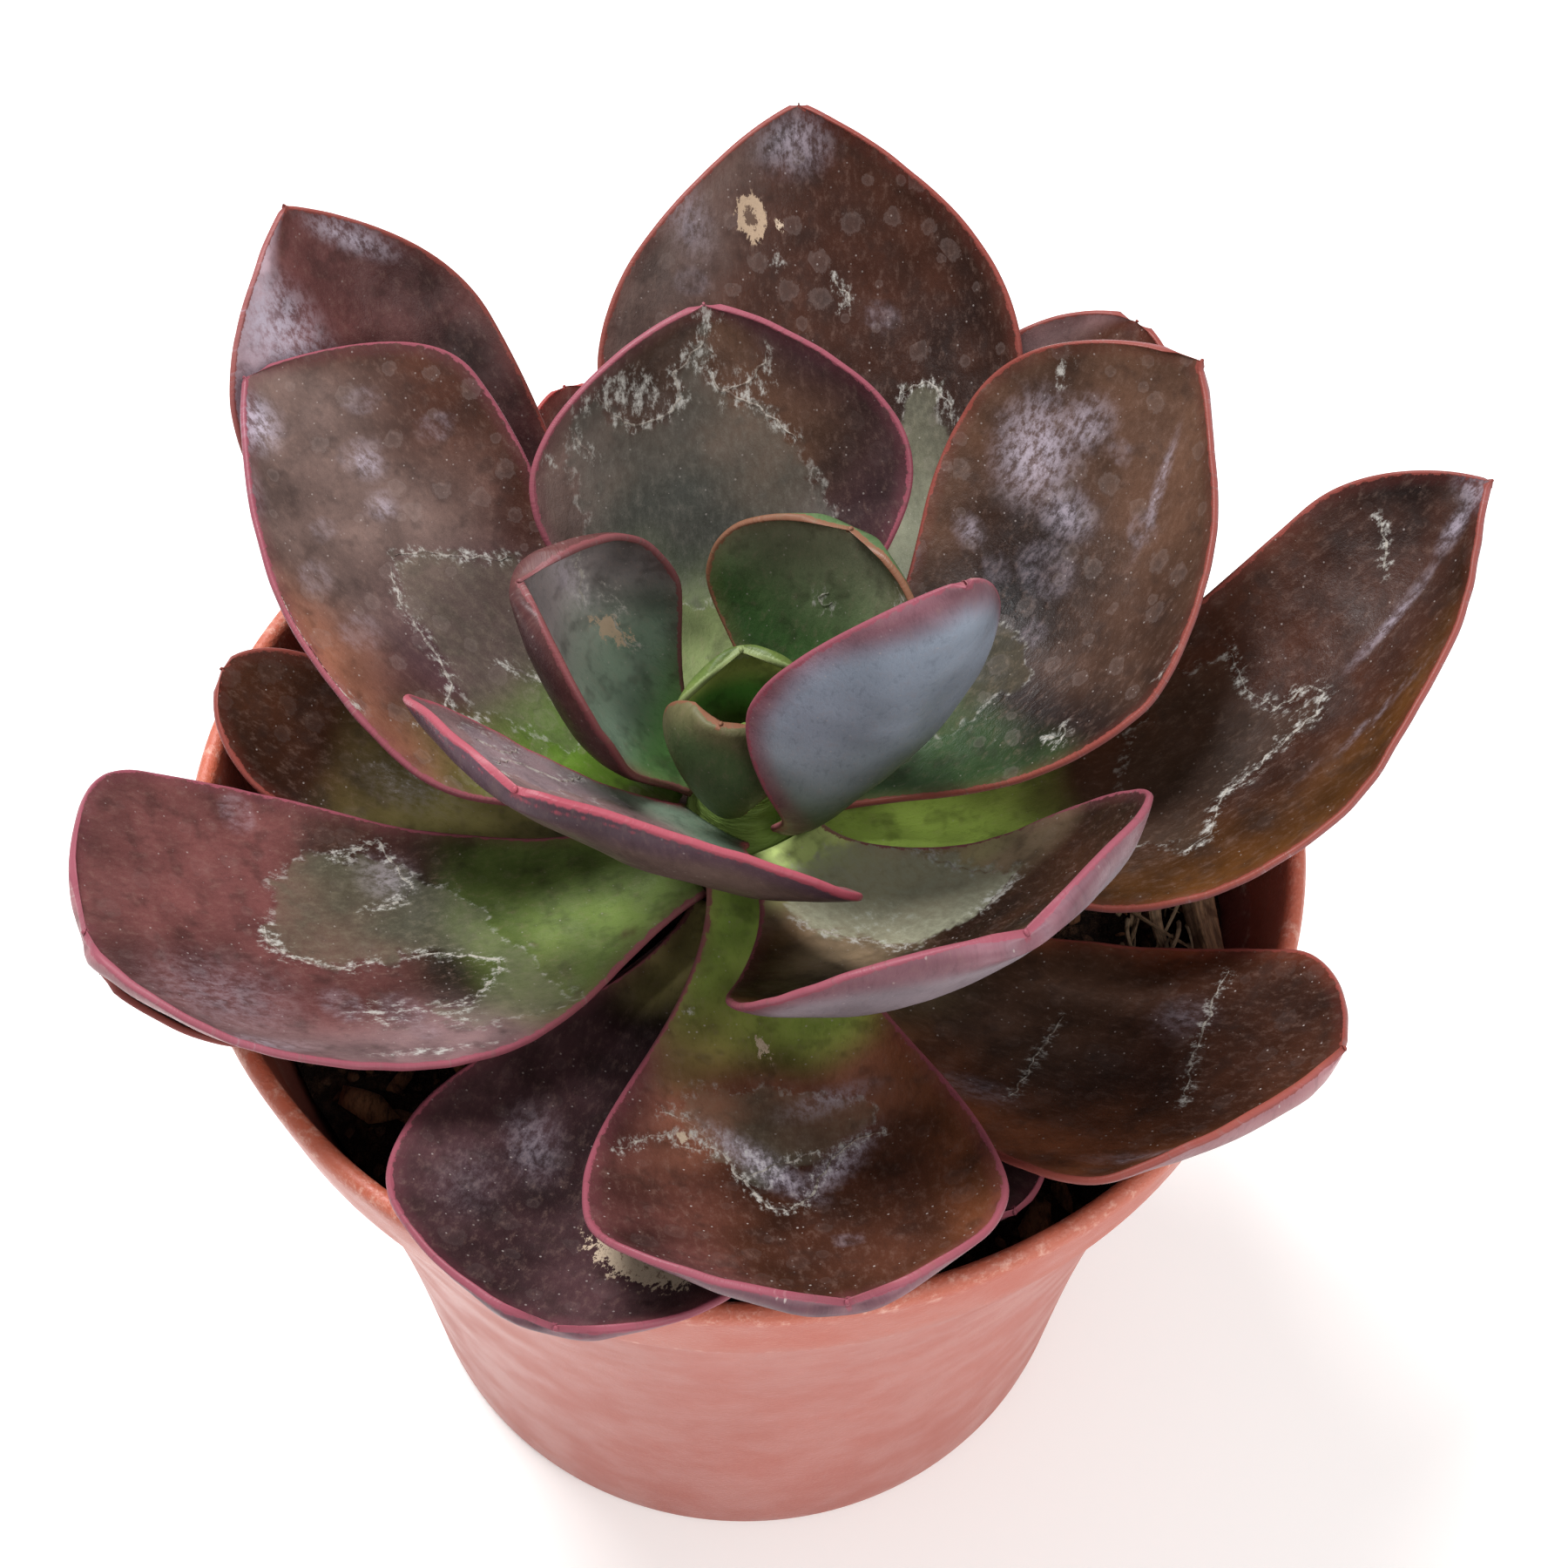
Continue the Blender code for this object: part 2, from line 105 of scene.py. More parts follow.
CHUNK_CHIPS = [(0.0, 0.0, 0.5, 1.3, 0.95), (3.0, 4.0, 0.34, 1.2, 0.9)]   # offset, size, stretch, shade

# Stem
STEM_PROFILE = [(7.4, 80.0), (6.8, 96.0), (5.0, 102.0), (3.2, 106.0), (1.8, 109.0)]   # radius, height
STEM_FOOT = 62.0

# Dry stalk
STALK_PATH = [(45.0, 12.0), (48.5, 5.0), (50.0, -2.5), (50.5, -8.0), (52.0, -14.0)]
STALK_RADII = (1.5, 1.9, 2.0, 1.8, 1.2)
STRAND_PATH = [(47.6, 5.5), (45.6, 0.0), (45.2, -5.0), (46.2, -10.0)]
STRAND_RADII = (0.9, 0.9, 0.8, 0.6)
STALK_LIFT = 1.5               # clear of the highest hump under the stalk
FILAMENTS = 26                 # fine dry roots beside the stalk
FILAMENT_FIELD = ((41.0, 50.0), (-15.0, 9.0))       # where they start, x and y
FILAMENT_LENGTH = (5.0, 13.0)
FILAMENT_RADIUS = (0.24, 0.10)
FILAMENT_POINTS = 12
FILAMENT_REACH = 53.0          # keeps them inside the pot

# Leaf blade
CELL_MM = 0.75                 # spacing of the grid of a blade
EDGE = 0.75                    # thickness at the margin
ROOT_GAP = 0.4
RIM_STEPS = 4                  # rows of the rounded edge between the two faces
RIM_BULGE = 0.85               # how far the edge stands out, in shares of half the thickness
TIP_CROWDING = 1.35            # grid rows lie closer toward the tip
MIDRIB_POINTS = 201
SAG_SHARE = 0.9                # part of the sag that the first way of the midrib takes
SHORT_REACH = 4.0              # a leaf that reaches less keeps the azimuth written for its tip
HEADING_GAIN = 1.6             # how much of the turn between root and tip azimuth the heading makes
WIDTH_RISE = 1.7               # how slowly the neck widens
CUP_SHARE = 0.6                # where along the leaf its cup is whole
ROLL_SHARE = 0.5
THINNING = 0.4                 # part of the thickness lost at the tip
CROWN = 2.2                    # how fully the thickness is kept toward the margin
DENTS = ((0.55, 0.09), (0.14, 0.28))     # depth and scale of the soft dents in a leaf
DEEPEST_DENT = 0.45
FLAT_ROOT = 14.0               # the dents grow over this way from the root
BATCH = 400                    # points measured at a time, which spares memory

# Leaf skin
MOTTLE = 0.8                   # how much lighter and darker bands along a leaf are
RING_HAZE = 0.15               # strength of dried drops
FAR_OFF = 6.0                  # beyond this a film's edge makes no difference
BARE = (-FAR_OFF, 0.0, 0.0)    # film, sheen and crust where there are none
PATCH_KINDS = ("sheen", "crust", "shade", "dead", "scar")

# Raised white crinkles on the leaves
THREAD_STEP = 0.45
THREAD_SWAY = 0.22
THREAD_HALF_WIDTH = (0.1, 0.28)
THREAD_ROWS = ((1.0, -0.06), (0.0, 0.11), (-1.0, -0.06))     # share of the half width, height on the skin
THREAD_HALO = 0.5              # pale crumbs beside a crinkle
HALO_REACH = 1.6
THREAD_MARGIN = 9.0            # keeps the rim's colour off the crinkles


@dataclass(frozen=True)
class Leaf:
    """One leaf. Each half of the blade has a half width, a cup angle, a point, 0.5 round to 1 sharp, and
    sometimes its own widest place.
    """
    name: str
    root: tuple                # height on the stem, azimuth
    tip: tuple                 # reach from the pot axis, azimuth, height
    left: tuple                # the half on the counter-clockwise side
    right: tuple
    widest: float = 0.66       # where along the leaf it is widest
    neck: float = 4.8          # half width at the root
    sag: float = 0.12          # how far the midrib hangs below its chord
    roll: float = 0.0          # turn about the midrib, left side up
    thick: float = 3.4         # thickness at the midrib near the root


LEAVES = [
    Leaf("withered", (83.5, -123), (45, -133, 83.8), (4.4, 60, 0.7), (4.4, 70, 0.7),
         widest=0.6, sag=0.02, neck=2.4, thick=1.4),
    Leaf("low_left", (84.2, -163), (69, -157, 105.2), (12.5, 16, 0.5), (3.6, 20, 0.5),
         widest=0.75, sag=0.07, thick=2.0, neck=2.4),
    Leaf("low_left_back", (87.4, 167), (58.5, 167, 103), (12, 12, 0.5), (7, 15, 0.5),
         widest=0.7, sag=0.1, roll=-9, neck=3.2, thick=2.3),
    Leaf("low_front_right", (84.1, -62), (54, -61, 94.8), (9, 10, 0.5), (12, 20, 0.5),
         widest=0.7, sag=0.09, thick=2.1, neck=3.0),
    Leaf("low_right_back", (88.0, 52), (72, 52, 114), (15, 32, 0.6), (15, 32, 0.6), widest=0.7),
    Leaf("low_front_left", (87.8, -105), (66, -105, 104), (17, 20, 0.5), (22, 20, 0.5),
         widest=0.7, sag=0.08, neck=4.2),
    Leaf("low_back", (84.8, 111), (62, 111, 101.5), (10, 25, 0.6), (13, 25, 0.6),
         sag=0.08, thick=2.4, neck=3.8),
    Leaf("low_right", (89.9, -36), (68, -33, 109), (13.5, 6, 0.8, 0.8), (27, 33, 0.65, 0.77),
         sag=0.2, roll=-3, neck=4.4),
    Leaf("outer_left_back", (89.8, 131), (72.4, 134, 134), (19.2, 10, 0.85), (15.2, 20, 0.95),
         sag=0.23, widest=0.73, neck=3.9, thick=3.1),
    Leaf("outer_left", (92.2, -153), (69.2, -157, 112.6), (22.5, 32, 0.5, 0.55), (23, 11, 0.45, 0.82),
         sag=0.14, roll=5, neck=6.2),
    Leaf("outer_front", (94.0, -82), (65, -82, 111), (17.5, 26, 0.5), (23, 26, 0.5),
         widest=0.78, sag=0.12, neck=5.6),
    Leaf("outer_back", (91.4, 80), (75, 86, 130), (24.2, 31, 0.84), (26.2, 32, 0.88),
         widest=0.61, neck=4.0),
    Leaf("outer_right", (92.8, 4), (80.4, 16, 124.7), (12.3, 20, 0.84, 0.8), (27, 47, 1.15, 0.5),
         sag=0.14, roll=5, neck=4.6),
    Leaf("mid_left_back", (97.0, 157), (64.8, 146.5, 124.6), (19.8, 28, 1.0, 0.36), (21.5, 12, 0.68, 0.78),
         sag=0.04, roll=-1, neck=4.2),
    Leaf("mid_right_back", (96.8, 24), (61.2, 38, 126.4), (22.8, 21, 0.53, 0.7), (20.4, 33, 1.2, 0.49),
         sag=0.15, roll=-6.5),
    Leaf("mid_front_right", (98.0, -58), (46, -58, 132), (24.5, 30, 0.5), (22.5, 30, 0.5), sag=0.2),
    Leaf("mid_back", (98.8, 96), (42, 97, 130), (21.5, 32, 0.8), (21.5, 32, 0.8),
         sag=0.1, widest=0.62),
    Leaf("mid_front_left", (99.6, -126), (34, -127, 137), (28, 21, 0.8, 0.63), (19.7, 17, 0.46, 0.71),
         sag=0.04, roll=5, neck=4.6),
    Leaf("inner_right", (100.6, -28), (21.5, -25, 144), (12, 42, 0.8), (16, 55, 0.8),
         widest=0.5, sag=0.08, roll=-35, neck=4.6, thick=3.0),
    Leaf("inner_left", (101.0, 168), (23, 168, 127.5), (13.5, 55, 0.5), (16.5, 95, 0.5),
         widest=0.6, roll=8, neck=3.6, thick=3.0),
    Leaf("inner_back", (102.9, 56), (18, 56, 124), (14, 32, 0.5), (13.5, 32, 0.5),
         widest=0.62, neck=3.4, thick=2.6),
    Leaf("heart_front", (102.8, -112), (7.0, -112, 119.5), (6.8, 55, 0.5), (8.4, 55, 0.5),
         widest=0.62, neck=1.9, thick=1.8),
    Leaf("heart_right", (103.5, -21), (5.3, -22, 116.5), (5.0, 55, 0.5), (4.9, 55, 0.5),
         widest=0.62, neck=1.5, thick=1.6),
    Leaf("heart_back", (104.2, 95), (5.8, 98, 115.5), (8.5, 60, 0.5), (8.0, 60, 0.5),
         widest=0.62, neck=2.2, thick=1.8),
]

# Colours, as they look on screen
MAROON = "4a2c26"
OLIVE = "493624"
GREEN = "58722a"
FILM = "7d806c"
FILM_EDGE = "b9b7b0"
# waxy bloom with painted sheen: the reflection of the light on the waxy skin, laid as colour
WAX_BLOOM_AND_SHEEN = "b9aebb"
TAN = "b39a80"
# dry brown, also laid as painted shade by the shade patches
DRY_AND_SHADE = "4a3226"
WATER_SPOT = "a89690"
FLECK = "b8aca6"
SMUDGE = "1e120e"
PALE_STREAK = "92766a"
DARK_STREAK = "160d0a"
DEAD_SKIN = "b4a08a"
DEAD_SPECK = "5a3a2e"
CRINKLE = "a8a298"
PLASTIC = ("9e5246", "a85c50")           # the two tones of the clouds
PLASTIC_COLLAR = "a6503e"
PLASTIC_RIM = "ae573f"
# pale scuffs with painted highlight, along the rim top and the collar's lower edge
PLASTIC_GRAIN = "d69a86"
RIM_SCUFF_AND_HIGHLIGHT = "e0b8a6"
COLLAR_SCUFF_AND_HIGHLIGHT = "e6bfae"
SCRATCH = "e2b5a4"
SOIL_MIX = ("1e140f", "4c3628")
SOIL_BITS = "765440"
BARK_CHIP = ("241812", "6c4832")
PALE_CHIP = "9c6c4a"
CHIP_GROOVE = "0d0908"
STEM_BARK = ("4a3a24", "6f6a3c")
STEM_TOP = "708a3c"
STALK_FIBRE = ("62402c", "b88c68")
STALK_PALE = "d0b896"
STALK_DARK = "3a241a"
FLOOR_WHITE = "f4f3f0"

# Paints of the leaf skins
NIGHT = "180c08"
SOOT = "20180f"
UMBER = "2c160c"
COCOA = "381e14"
BARK = "44280f"
PLUM = "3a2628"
BROWN = "463024"
WINE = "502e2c"
TAUPE = "5a4842"
MAUVE = "705858"
CLAY = "784c3a"
RUST = "8c4424"
OCHRE = "6a3c24"
DRAB = "806c54"
KHAKI = "9c9058"
STONE = "80826c"
GREY_OLIVE = "646450"
GREY_BROWN = "4c4030"
GREY_GREEN = "5c6058"
LICHEN = "9c9c84"
DARK_OLIVE = "5c583c"
PINE = "324c26"
DEEP_GREEN = "465a38"
MOSS = "48601e"
FERN = "5a6a34"
REED = "7c8858"
SPRING = "68a050"
LEAF_GREEN = "507440"
BRIGHT_GREEN = "88a048"
LIME = "b4c478"
PALE_LIME = "d0d488"
SAGE = "627262"
ASH = "706868"
SLATE = "8c96a4"
DOVE = "84787e"
LAVENDER = "a08c94"
PALE_PINK = "b8a4ac"
DUSTY_ROSE = "906468"
ROSE_BROWN = "704c54"
SHADOW_ROSE = "4c3840"
RED_RIM = "803e36"
PINK_RIM = "884652"
BRIGHT_RIM = "984450"
DARK_RIM = "703e40"
PLAIN_RIM = "9c3c38"
PLAIN_BACK = "7d5d68"
PLAIN_BACK_BASE = "62684c"
PLAIN_BACK_EDGE = "94606a"


@dataclass(frozen=True)
class Skin:
    """Looks of one leaf. Outlines and lines are points in millimetres along and across it, left positive."""
    face: str = MAROON         # upper face toward the tip
    middle: str = OLIVE        # upper face halfway
    base: str = GREEN          # upper face at the root
    fade: tuple = (0.12, 0.42, 0.75)     # shares of the length: base ends, middle begins, face begins
    left: str = ""             # tint beside the left margin, if any
    right: str = ""
    rim: str = PLAIN_RIM       # thin line along the margin
    rim_width: float = 0.3
    back: str = PLAIN_BACK     # underside
    back_base: str = PLAIN_BACK_BASE
    back_edge: str = PLAIN_BACK_EDGE     # underside near the margin
    spots: float = 0.35        # strength of dried water spots
    specks: float = 0.5        # strength of white flecks
    film: str = FILM           # dried film
    haze: float = 0.5          # strength of the dried films
    films: tuple = ()
    threads: tuple = ()        # raised white crinkles
    rings: tuple = ()          # dried drops: along, across, radius
    sheen: tuple = ()          # soft patches: along, across, half length, half width, turn, strength; the sheen patches are waxy bloom with painted reflection of the light
    crust: tuple = ()
    # shade patches: painted shade and dark dry spots
    shade: tuple = ()
    dead: tuple = ()
    scar: tuple = ()


SKINS = {
    "outer_back": Skin(
        face=COCOA, middle=UMBER, base=STONE, fade=(0.25, 0.52, 0.8), left=TAUPE, rim=RED_RIM, spots=0.9,
        film=STONE, haze=0.35,
        films=(((47, -12), (48, -13), (48, -16), (46, -16.5), (30, -22), (24, -14), (30, -8)),),
        threads=(((47, -11.5), (48, -13), (48.3, -15), (46.5, -17), (43, -18)), ((60.5, -3.8), (59, -4.2),
            (58.5, -5.4), (57.2, -4.4))),
        rings=((48, -3, 2), (52, 7, 1.6), (56, -9, 1.5), (44, 10, 1.8), (60, 13, 1.7), (50, 14, 1.4)),
        sheen=((76, 1, 4, 5, 0, 0.45), (68, 14, 6, 3, 25, 0.35)),
        crust=((62.5, 3.3, 2.5, 1.6, 0, 0.35),),
        dead=((66.7, 2.7, 1, 0.6, 0, 0.6),),
        scar=((67.5, 6, 3, 1.9, 15, 1),)),
    "outer_left_back": Skin(
        # the lavender along its left half is painted sheen from the light, over the waxy bloom
        face=WINE, middle=PLUM, base=BROWN, left=LAVENDER, rim=RED_RIM, spots=0.25, specks=0.35,
        sheen=((74, 8.5, 9, 5, 20, 1.1), (77, -5, 6, 1.8, 40, 0.8), (66, 13, 6, 4, 10, 0.8),
            (60, 2, 6, 4, 0, 0.25))),
    "mid_left_back": Skin(
        face=TAUPE, middle=PLUM, base=MOSS, fade=(0.2, 0.42, 0.68), left=CLAY, right=COCOA, rim=PINK_RIM,
        back=STONE, spots=0.9, film=GREY_OLIVE, haze=0.3,
        films=(((40, 0), (38.5, -3), (33.5, -7), (31, -9.5), (20, -8), (12, -4), (12, 4), (25.5, 8),
            (28.5, 5.5), (35.5, 3.5), (39.5, 1)),),
        threads=(((40, 0), (38.5, -3), (36.5, -4.5), (33.5, -7), (31, -9.5)), ((39.5, 1), (35.5, 3.5),
            (32, 4.5), (28.5, 5.5), (26.5, 6.5), (25.5, 9), (24.5, 11), (25.5, 14)), ((24, 1), (21.5, 0),
            (18, -0.5), (15.5, 0.5)), ((44, 20), (40, 20.3), (35, 19.3), (31, 18))),
        rings=((51, -5, 1.9), (45.5, -3, 1.5), (48.5, -14, 1.6), (43.5, 9, 1.7), (56, -9, 1.5),
            (36.5, 10, 2), (52, 12, 1.4), (47, 4, 1.2), (59, 10, 1.3)),
        sheen=((60.5, 3, 3.6, 3.4, 0, 1), (57, 11, 5, 4, 20, 0.55), (50, -5, 2.2, 1.8, 0, 0.6),
            (45, -3, 1.8, 1.4, 0, 0.45)),
        crust=((22, 10, 3, 2.8, 0, 1), (37, 20, 8, 1.3, 0, 0.6)),
        shade=((33, 12, 7, 4, 0, 0.2),)),
    "mid_back": Skin(
        face=BROWN, middle=SOOT, base=REED, fade=(0.22, 0.5, 0.72), left=TAUPE, right=PLUM, rim=PINK_RIM,
        back=TAUPE, spots=0.25, film=GREY_GREEN, haze=0.42,
        films=(((46, 0), (44, 0.5), (41.5, 4), (38.5, 3), (37, 5.5), (36, 9), (37.5, 11), (40, 12.5),
            (36, 17), (24, 15), (16, 8), (16, -6), (24, -12), (33, -9), (35.5, -6.5), (37.5, -4), (39, -1),
            (41.5, 0)),),
        threads=(((46, 0), (44, 0.5), (41.5, 4), (38.5, 3), (37, 5.5), (36, 9), (37.5, 11), (40, 12.5)),
            ((41.5, 0), (39, -1), (37.5, -4), (35.5, -6.5), (33, -9)), ((39, -1), (39.5, -4), (41.5, -6),
            (43, -6.5)), ((36.5, 16), (34.5, 15), (33, 13.5))),
        crust=((40, 9, 3.2, 5.5, -25, 0.75), (43, 1, 2.5, 3, 0, 0.6), (39, -4, 2.6, 4.5, 25, 0.55),
            (39.5, 14.5, 1.8, 2.2, 0, 0.7), (47, 0, 1.5, 2, 0, 0.8), (33.5, 19, 2, 1.2, 0, 0.7)),
        shade=((31.5, -9.5, 1.4, 1.2, 0, 0.7),)),
    "mid_right_back": Skin(
        face=BROWN, middle=NIGHT, base=PINE, fade=(0.15, 0.45, 0.72), left=BROWN, rim=RED_RIM,
        back=DARK_OLIVE, back_base=CLAY, back_edge=PALE_PINK, spots=0.9, film=DARK_OLIVE, haze=0.25,
        films=(((12, 6), (25, 9), (30, 4), (26, -4), (14, -3)),),
        threads=(((22.5, -12.2), (23.2, -13.6), (24.6, -12.8), (24.2, -14.2), (22.8, -14.6)),),
        rings=((34.5, 14.5, 1.8), (33, 9, 1.4), (27, 18, 1.5), (36.5, 4, 3), (36.5, 4, 2.2), (46, -3, 1.6),
            (30, 0, 1.3), (52, 4, 1.2)),
        sheen=((47.5, 13, 7, 5.2, 15, 0.7), (52.5, 9.5, 4.5, 3.2, -30, 0.5), (43, 6, 3, 4, 0, 0.5),
            (50, -2.5, 7, 0.7, 12, 0.5), (34.5, 14.5, 1.5, 1.5, 0, 0.5)),
        crust=((57, 14, 3, 1.4, 0, 0.5), (40, -19, 10, 1, 0, 0.5))),
    "low_right_back": Skin(face=COCOA, left=MAUVE, rim=RED_RIM, spots=0.2),
    "outer_right": Skin(
        face=COCOA, middle=UMBER, base=BRIGHT_GREEN, fade=(0.14, 0.34, 0.85), left=NIGHT, right=BARK,
        rim=RED_RIM, back=PALE_PINK, back_base=OCHRE, back_edge=PALE_PINK, spots=0.2, film=GREY_BROWN,
        haze=0.18,
        films=(((50, 4.5), (49, 0), (51, -4), (56, -6), (54, -8), (46.5, -9.5), (40.5, -12), (36.5, -16),
            (30, -10), (34, 0), (42, 6)),),
        threads=(((50, 4.5), (49, 0), (51, -4), (55, -4), (56, -6), (54, -8), (50.5, -8), (46.5, -9.5),
            (42.5, -10.5), (40.5, -12), (39, -15.5), (36.5, -16)), ((72, 6), (70.5, 3.5), (68.5, 1))),
        sheen=((77, -1, 3.6, 1.1, 12, 0.6), (66, -4, 8, 0.6, 14, 0.5), (58, -14, 9, 0.5, 8, 0.3),
            (81, 0, 2, 3, 0, 0.5)),
        crust=((52, -7, 4, 2.4, 20, 0.35),),
        # a large painted shade over the lower middle of the leaf
        shade=((30, -4, 14, 9, 0, 0.45),)),
    "low_right": Skin(
        face=UMBER, middle=BROWN, base=DARK_OLIVE, left=RUST, right=OCHRE, rim=RED_RIM, back=MAUVE,
        back_base=OCHRE, back_edge=DUSTY_ROSE, specks=0.9, haze=0.2,
        threads=(((52, -9), (49, -2), (47.5, 5), (47, 10)), ((34.5, -14), (33, -7), (32, 0))),
        sheen=((30, -15, 6, 2.5, 0, 0.3), (45, 3, 4, 3, 0, 0.2), (56, -20, 8, 1.5, 10, 0.25))),
    "low_front_right": Skin(face=PLUM, middle=PLUM, base=BROWN, rim=PINK_RIM, back=ROSE_BROWN),
    "outer_front": Skin(
        face=COCOA, middle=CLAY, base=BRIGHT_GREEN, fade=(0.2, 0.42, 0.7), left=OCHRE, right=WINE,
        rim=PINK_RIM, back=SHADOW_ROSE, back_base=CLAY, back_edge=ROSE_BROWN, specks=0.8, haze=0.22,
        films=(((38, 0), (41, -5), (38, -9), (31, -13), (26, -10), (28, 0), (31, 7), (36, 6)),),
        threads=(((30.5, -14), (31, -11.5), (34.5, -9.5), (38, -8), (41.5, -6.5), (45, -5), (46, -3.5),
            (44.5, -1.5), (41, 0), (38, 2.5), (36, 5), (36, 7.5)), ((37.5, -19), (34.5, -15.5),
            (33.5, -13)), ((40, -6), (38, -3), (37, 1)), ((34, -9), (36, -10.5), (35, -13), (32.5, -12.5))),
        rings=((51.5, 1.5, 1),),
        sheen=((38, -5, 8, 2, 38, 0.75), (39, 3, 6, 1.8, -45, 0.7), (30, 3, 2, 5.5, 15, 0.5)),
        crust=((34, -11, 3, 3, 0, 0.7), (38, -5, 7, 1.6, 30, 0.4), (16.5, -9.5, 0.8, 0.8, 0, 1),
            (38, 3, 4, 2, -45, 0.4)),
        dead=((34, -12, 1.1, 0.8, 0, 0.9), (21.5, -2.5, 2.4, 0.7, 0, 0.8))),
    "low_front_left": Skin(
        face=PLUM, middle=PLUM, base=KHAKI, fade=(0.1, 0.3, 0.75), left=WINE, right=PLUM, rim=PINK_RIM,
        back=SHADOW_ROSE, back_edge=ROSE_BROWN,
        sheen=((37.5, -10, 6, 3.2, 20, 0.22), (46, -14, 6, 4, 0, 0.08)),
        dead=((50, 5, 6.5, 3.6, 70, 1),)),
    "outer_left": Skin(
        face=WINE, middle=SOOT, base=FERN, fade=(0.22, 0.45, 0.66), left=MAUVE, right=WINE, rim=PINK_RIM,
        back=TAUPE, back_base=KHAKI, back_edge=DUSTY_ROSE, film=GREY_OLIVE, haze=0.42,
        films=(((42, -12.5), (44, -8.5), (46.5, -3.5), (47, -1), (44, 1.5), (39, 3), (32, 2), (23.5, 5),
            (24, 7), (29, 11), (35, 10), (30, 16), (18, 14), (22, -2), (30, -12)),),
        threads=(((46.5, -3), (47, -1), (44.5, 1), (42, 2.4), (39, 3), (36, 2.2)), ((36.5, -12),
            (30.5, -14), (29, -9), (28.5, -7), (31, -5.5), (34.5, -5)), ((32, 2), (28, 3), (23.5, 5),
            (24, 7), (26.5, 9), (29, 11), (33, 10.6))),
        rings=((42, 9, 2.3), (42, 9, 1.5), (36, 10.5, 2.2), (35.5, 15, 1.4), (45.5, -18.5, 2),
            (45.5, -18.5, 1.2)),
        sheen=((31, -9, 3.5, 3.5, 0, 0.3), (55, 8, 9, 7, 0, 0.2), (56, 18, 8, 2.5, 10, 0.35)),
        crust=((46, -1, 1.4, 3.2, 0, 0.8), (38, 11, 5.5, 3.4, 0, 0.5), (31, 13, 3.5, 2.6, 20, 0.5),
            (37, 19.5, 9, 1.2, 0, 0.7)),
        shade=((9.5, 7, 0.9, 0.8, 0, 1),)),
    "low_left": Skin(face=PLUM, middle=PLUM, rim=RED_RIM, back=WINE),
    "low_left_back": Skin(
        face=UMBER, middle=KHAKI, base=DARK_OLIVE, rim=RED_RIM, haze=0.5,
        sheen=((30, 3, 7, 3, 0, 0.2),),
        crust=((31, 2, 6, 3, 0, 0.3),)),
    "mid_front_right": Skin(
        face=UMBER, middle=DRAB, base=LIME, fade=(0.1, 0.3, 0.58), right=BARK, rim=PINK_RIM, back=DOVE,
        back_base=DRAB, back_edge=ROSE_BROWN, specks=0.8, film=LICHEN, haze=0.85,
        films=(((4, 7), (4, -3), (12, -5.5), (17, -3), (21, -1.5), (26, -0.5), (29, 8), (28.5, 10),
            (27, 13.5), (16, 12)),),
        threads=(((27, 13.5), (27.6, 12), (28.5, 10), (29, 8)), ((26, -0.5), (21, -1.5), (17, -3),
            (12, -5.5)), ((28, 12.5), (29, 11), (28.2, 9.5), (29.4, 7.5)), ((9, 9), (13, 10.5), (18, 11),
            (23, 12.5))),
        crust=((28, 10, 1.8, 4.2, 0, 1), (18, 1, 8, 5, 0, 0.3))),
    "mid_front_left": Skin(
        face=MAUVE, middle=MAUVE, base=SAGE, rim=BRIGHT_RIM, rim_width=0.6, back=TAUPE, back_base=PLUM,
        back_edge=SHADOW_ROSE, film=DOVE, haze=0.5,
        films=(((10, -14), (30, -16), (40, -10), (30, -6), (12, -5)),),
        threads=(((14, -10), (20, -9), (27, -11), (33, -10)), ((22, -14), (27, -12.5), (31, -14)),
            ((36, -6), (39, -9), (41, -12))),
        sheen=((28, 14, 12, 3, 0, 0.4),),
        crust=((41, -8, 3, 4, 0, 0.8),)),
    "inner_right": Skin(
        face=BROWN, middle=DEEP_GREEN, fade=(0.1, 0.35, 0.7), rim=PINK_RIM, back=SLATE,
        back_base=DEEP_GREEN, back_edge=ROSE_BROWN, specks=0.5,
        dead=((46, 1, 2.5, 2, 0, 0.6),)),
    "inner_left": Skin(
        face=ASH, middle=SAGE, base=LEAF_GREEN, fade=(0.1, 0.35, 0.75), left=CLAY, rim=DARK_RIM, back=PLUM,
        back_base=MOSS, back_edge=WINE,
        threads=(((18, -8), (15, -7), (13, -8)), ((22, -6), (25, -7.5), (29, -8))),
        sheen=((27, -6, 7, 1.5, 10, 0.5),),
        crust=((20, -9, 4, 1.5, 0, 0.5), (30.5, 2, 2.4, 3, 0, 1)),
        scar=((17, -7, 4.2, 1.5, 10, 0.5),)),
    "inner_back": Skin(
        face=GREY_OLIVE, middle=PINE, base=PINE, fade=(0.1, 0.4, 0.95), right=DARK_OLIVE, rim=CLAY,
        back=DEEP_GREEN, back_base=DEEP_GREEN, back_edge=DEEP_GREEN, spots=0.15,
        threads=(((17, 0.4), (16.2, 1.6), (15.4, 0.8), (16.2, -0.2)), ((11, -7), (14, -6.5), (17, -7.5)),
            ((20, -10.5), (22, -9.5), (23, -7.5))),
        crust=((21, -9, 2.2, 2.6, 0, 0.7), (13, -8, 3, 1.5, 0, 0.8))),
    "heart_front": Skin(
        face=DEEP_GREEN, middle=DEEP_GREEN, base=MOSS, rim=CLAY, back=DEEP_GREEN, back_base=FERN,
        back_edge=DARK_OLIVE, spots=0.1, specks=0.3,
        crust=((16, 0, 1, 1.4, 0, 0.8),)),
    "heart_right": Skin(
